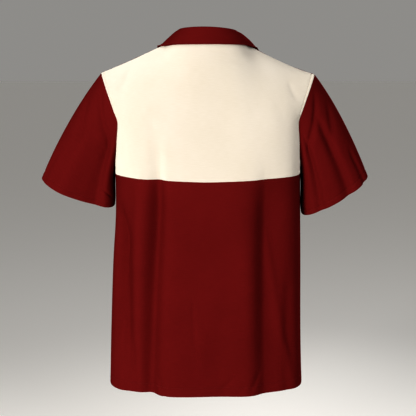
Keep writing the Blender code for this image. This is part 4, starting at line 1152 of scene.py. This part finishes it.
collarPiece = makeCollar()
lapelPieces = {side: makeLapel(side) for side in ("left", "right")}
print("shirt: collar and lapels")


# Stitches
def columnSeam(panel, line, colour, low=None):
    at = int(np.argmin(abs(panel["columns"] - line % panel["columns"][-1])))
    if panel is fronts["right"]:
        at = len(panel["columns"]) - 1 - at
    first = 0 if low is None else int(np.argmin(abs(panel["rows"] - low)))
    sew(panel["grid"][first:, at], panel["normals"][first:, at], colour)


def rowSeam(panel, line, colour):
    up = panel["rows"] - panel["rows"][0]
    at = int(np.argmin(abs(up - line % up[-1])))
    sew(panel["grid"][at], panel["normals"][at], colour)


rowSeam(lowerBack, hemLine, "maroon")
rowSeam(lowerBack, crossLine, "maroon")
for line in edgeLines:
    columnSeam(upperBack, line, "cream")
for panel in fronts.values():
    rowSeam(panel, hemLine, "maroon")
    columnSeam(panel, -edgeLine, "maroon", panel["knots"][underarmRow])

stitch = {"length": 0.22, "radius": 0.028}  # drawn a little thick, as 40-count thread would not show


def resized(size, shift=(0, 0, 0)):
    # stretches and moves the mesh that was just added
    bpy.ops.object.mode_set(mode="EDIT")
    bpy.ops.transform.resize(value=size)
    bpy.ops.transform.translate(value=shift)
    bpy.ops.object.mode_set(mode="OBJECT")
    return bpy.context.object


bpy.ops.mesh.primitive_uv_sphere_add(segments=6, ring_count=6, radius=1)
oneStitch = resized((stitch["radius"], stitch["radius"], stitch["length"] / 2))
stitchPoints = np.array([v.co[:] for v in oneStitch.data.vertices])
stitchFaces = [list(p.vertices) for p in oneStitch.data.polygons]
bpy.data.objects.remove(oneStitch)


def sewnThreads(colour):
    name = colour + "Stitches"
    points, faces = [], []
    for place, way, out in threads[colour]:
        across = unit(np.cross(out, way))
        points.append(place + out * 0.004 + stitchPoints @ np.array([across, np.cross(way, across), way]))
    for k in range(len(points)):
        faces += [[v + k * len(stitchPoints) for v in f] for f in stitchFaces]
    mesh = bpy.data.meshes.new(name)
    mesh.from_pydata((np.concatenate(points) * cm).tolist(), [], faces)
    mesh.shade_smooth()
    seat(linked(name, mesh), colour, finishes[colour + "Thread"])


for colour in threads:
    sewnThreads(colour)
print("shirt: stitches", {c: len(t) for c, t in threads.items()})

# Buttons: one is turned and drilled, then copied to the five places that the solids give
buttonShape = {
    "radius": 0.6, "thick": 0.26, "rim": 0.13, "dish": 0.07, "hole": 0.085, "holesOut": 0.17,
    "bevel": 0.035, "sides": 48,
}
threadBar = {"half": (0.032, 0.2, 0.055), "aside": (-0.02, 0.025), "proud": 0.01}
buttonhole = {"half": (0.13, 0.86, 0.16), "cord": 0.24, "squared": 0.45, "proud": 0.01}


def turnedButton():
    b = buttonShape
    bpy.ops.mesh.primitive_cylinder_add(vertices=b["sides"], radius=b["radius"], depth=b["thick"])
    made = bpy.context.object
    bpy.ops.object.mode_set(mode="EDIT")
    bpy.ops.mesh.select_all(action="DESELECT")
    bpy.ops.object.mode_set(mode="OBJECT")
    for face in made.data.polygons:
        face.select = face.normal.z > 0.9
    bpy.ops.object.mode_set(mode="EDIT")
    bpy.ops.mesh.select_mode(type="FACE")
    bpy.ops.mesh.inset(thickness=b["rim"])
    bpy.ops.mesh.inset(thickness=b["dish"] * 0.8)
    bpy.ops.transform.translate(value=(0, 0, -b["dish"]))
    bpy.ops.object.mode_set(mode="OBJECT")
    rounded = made.modifiers.new("rounded", "BEVEL")
    rounded.width, rounded.segments, rounded.limit_method = b["bevel"], 3, "ANGLE"
    rounded.angle_limit = math.radians(25)
    bpy.ops.object.modifier_apply(modifier="rounded")
    drills = []
    for k in range(4):
        turn = math.pi / 4 + k * math.pi / 2
        where = (b["holesOut"] * math.cos(turn), b["holesOut"] * math.sin(turn), 0)
        bpy.ops.mesh.primitive_cylinder_add(vertices=20, radius=b["hole"], depth=1, location=where)
        drills.append(bpy.context.object)
    for drill in drills:
        bpy.context.view_layer.objects.active = made
        drilled = made.modifiers.new("drilled", "BOOLEAN")
        drilled.operation, drilled.object, drilled.solver = "DIFFERENCE", drill, "EXACT"
        bpy.ops.object.modifier_apply(modifier="drilled")
        bpy.data.objects.remove(drill)
    return made


def threadBars():
    # two pairs of bars of thread that cross the four holes
    b, bars = buttonShape, []
    height = b["thick"] / 2 - b["dish"] + threadBar["proud"]
    for hand in (-1, 1):
        for aside in threadBar["aside"]:
            bpy.ops.mesh.primitive_uv_sphere_add(segments=10, ring_count=8, radius=1)
            bars.append(resized(threadBar["half"], (hand * b["holesOut"] * 0.7 + aside, 0, height)))
    return bars


def buttonholeFrame():
    cord = buttonhole["cord"]
    bpy.ops.mesh.primitive_torus_add(major_segments=40, minor_segments=8, major_radius=1, minor_radius=cord)
    return resized(buttonhole["half"])


def placed(source, name, spin, middle):
    # a copy of a prototype, its Z along the cloth's normal
    mesh = source.data.copy()
    points = np.array([v.co[:] for v in mesh.vertices])
    mesh.vertices.foreach_set("co", ((points @ spin + middle) * cm).ravel())
    mesh.update()
    return linked(name, mesh)


def joined(pieces, name):
    bpy.ops.object.select_all(action="DESELECT")
    for piece in pieces:
        piece.select_set(True)
    bpy.context.view_layer.objects.active = pieces[0]
    if len(pieces) > 1:
        bpy.ops.object.join()
    pieces[0].name = pieces[0].data.name = name
    return pieces[0]


oneButton, bars, oneFrame = turnedButton(), threadBars(), buttonholeFrame()
bars = joined(bars, "bars")
buttonNodes = [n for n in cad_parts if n.startswith("button_")]
sewnOn, frames = [], []
for number, node in enumerate(sorted(buttonNodes), 1):
    spread = np.array([v.co[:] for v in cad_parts[node].data.vertices]) / cm
    middle = (spread.max(axis=0) + spread.min(axis=0)) / 2
    out = np.linalg.svd(spread - spread.mean(axis=0), full_matrices=False)[2][2]
    out = out * np.sign(-out[1])
    across = unit(np.cross((0, 0, 1), out))
    spin = np.array([across, np.cross(out, across), out])
    piece = placed(oneButton, f"button{number}", spin, middle)
    bpy.ops.object.select_all(action="DESELECT")
    piece.select_set(True)
    bpy.context.view_layer.objects.active = piece
    bpy.ops.object.shade_smooth_by_angle(angle=math.radians(35))
    seat(piece, "button", finishes["button"], node)
    sewnOn.append(placed(bars, "bar", spin, middle))
    hole = placed(oneFrame, "hole", spin, middle)
    for v in hole.data.vertices:
        place = np.array(v.co[:]) / cm
        tall = buttonhole["half"][1]
        up = float(np.dot(place - middle, spin[1])) / tall
        place = place + spin[1] * tall * (math.copysign(abs(up) ** buttonhole["squared"], up) - up)
        rise = float(np.dot(place - middle, out))
        v.co = Vector(laidOn(place - out * rise, rise + buttonhole["proud"]) * cm)
    frames.append(hole)
buttonThread = joined(sewnOn, "buttonThread")
seat(buttonThread, "maroon", finishes["maroonThread"])
buttonholes = joined(frames, "buttonholes")
seat(buttonholes, "maroon", finishes["maroonThread"])
for spare in (oneButton, bars, oneFrame):
    bpy.data.objects.remove(spare)
print("shirt: buttons")

# Sheets: each piece with the width and length in metres of the cloth that it is cut from
cuts = (
    (lowerBack, (0.58, 0.5)),
    (upperBack, (0.57, 0.34)),
    (fronts["left"], (0.31, 0.82)),
    (fronts["right"], (0.31, 0.82)),
    (arms["left"], (0.55, 0.29)),
    (arms["right"], (0.55, 0.29)),
    (collarPiece, (0.53, 0.1)),
    (lapelPieces["left"], (0.14, 0.1)),
    (lapelPieces["right"], (0.11, 0.1)),
)


def stretched(grid, axis):
    # the longest row (1) or column (0) of a panel, along its cloth
    return float(np.linalg.norm(np.diff(grid, axis=axis), axis=2).sum(axis=axis).max()) * cm


for piece, cut in cuts:
    across, down = (round(stretched(piece["grid"], axis), 3) for axis in (1, 0))
    share = round(piece["area"] / cut[0] / cut[1], 3)
    print("shirt sheet", piece["object"].name, across, down, "share", share)

# Room, light and camera
stage = {
    "floor": -1.05, "floorSize": 60, "floorColour": "fdfcfa", "floorRough": 0.9,
    "world": "f4f2ee", "worldStrength": 0.27,
    "aim": (0, 0, -0.32),  # where every lamp points
}
lamps = {
    "keyBehindLeft": {
        "place": (1.98, 2.9, 0.1), "size": 0.9, "spread": 75, "power": 15.3, "colour": "fffcf6",
    },
    "fillBehindRight": {
        "place": (-1.5, 3.1, 1.0), "size": 1.6, "spread": 100, "power": 6.3, "colour": "fbfcff",
    },
    "frontKey": {
        "place": (-1.3, -3.1, 0.7), "size": 1.2, "spread": 42, "power": 9, "colour": "fffcf6",
    },
    "top": {"place": (0.0, 0.9, 2.8), "size": 2.0, "spread": 110, "power": 7, "colour": "ffffff"},
}

bpy.ops.mesh.primitive_plane_add(size=stage["floorSize"], location=(0, 0, stage["floor"]))
floor = bpy.context.object
floor.name = "studioFloor"
floorFinish, tree, shader = newMaterial("paintedFloor")  # matt pale paint, to catch a soft shadow
setInputs(tree, shader, {"Base Color": toLinear(stage["floorColour"]), "Roughness": stage["floorRough"]})
floor.data.materials.append(floorFinish)

world = bpy.data.worlds.new("studioWorld")
bpy.context.scene.world = world
world.use_nodes = True
glow = {"Color": toLinear(stage["world"]), "Strength": stage["worldStrength"]}
setInputs(world.node_tree, world.node_tree.nodes["Background"], glow)

for name, lamp in lamps.items():
    bpy.ops.object.light_add(type="AREA", location=lamp["place"])
    light = bpy.context.object
    light.name = name
    light.data.size = lamp["size"]
    light.data.spread = math.radians(lamp["spread"])
    light.data.energy = lamp["power"]
    light.data.color = toLinear(lamp["colour"])[:3]
    aim = Vector(stage["aim"]) - Vector(lamp["place"])
    light.rotation_euler = aim.to_track_quat("-Z", "Y").to_euler()

# Behind the shirt and a little above its middle, as in the photograph
camera = {"place": (0, 2.5, 0.01035), "tilt": 82, "turn": 180, "lens": 102.08, "sensor": 36}
bpy.ops.object.camera_add(location=camera["place"])
eye = bpy.context.object
eye.name = "photoCamera"
eye.rotation_euler = (math.radians(camera["tilt"]), 0, math.radians(camera["turn"]))
eye.data.lens = camera["lens"]
eye.data.sensor_width = camera["sensor"]
eye.data.dof.use_dof = False
bpy.context.scene.camera = eye
view = bpy.context.scene.view_settings
view.view_transform, view.look = "Standard", "High Contrast"  # a catalogue picture: pale cloth stays pale

print("shirt: room, light and camera")
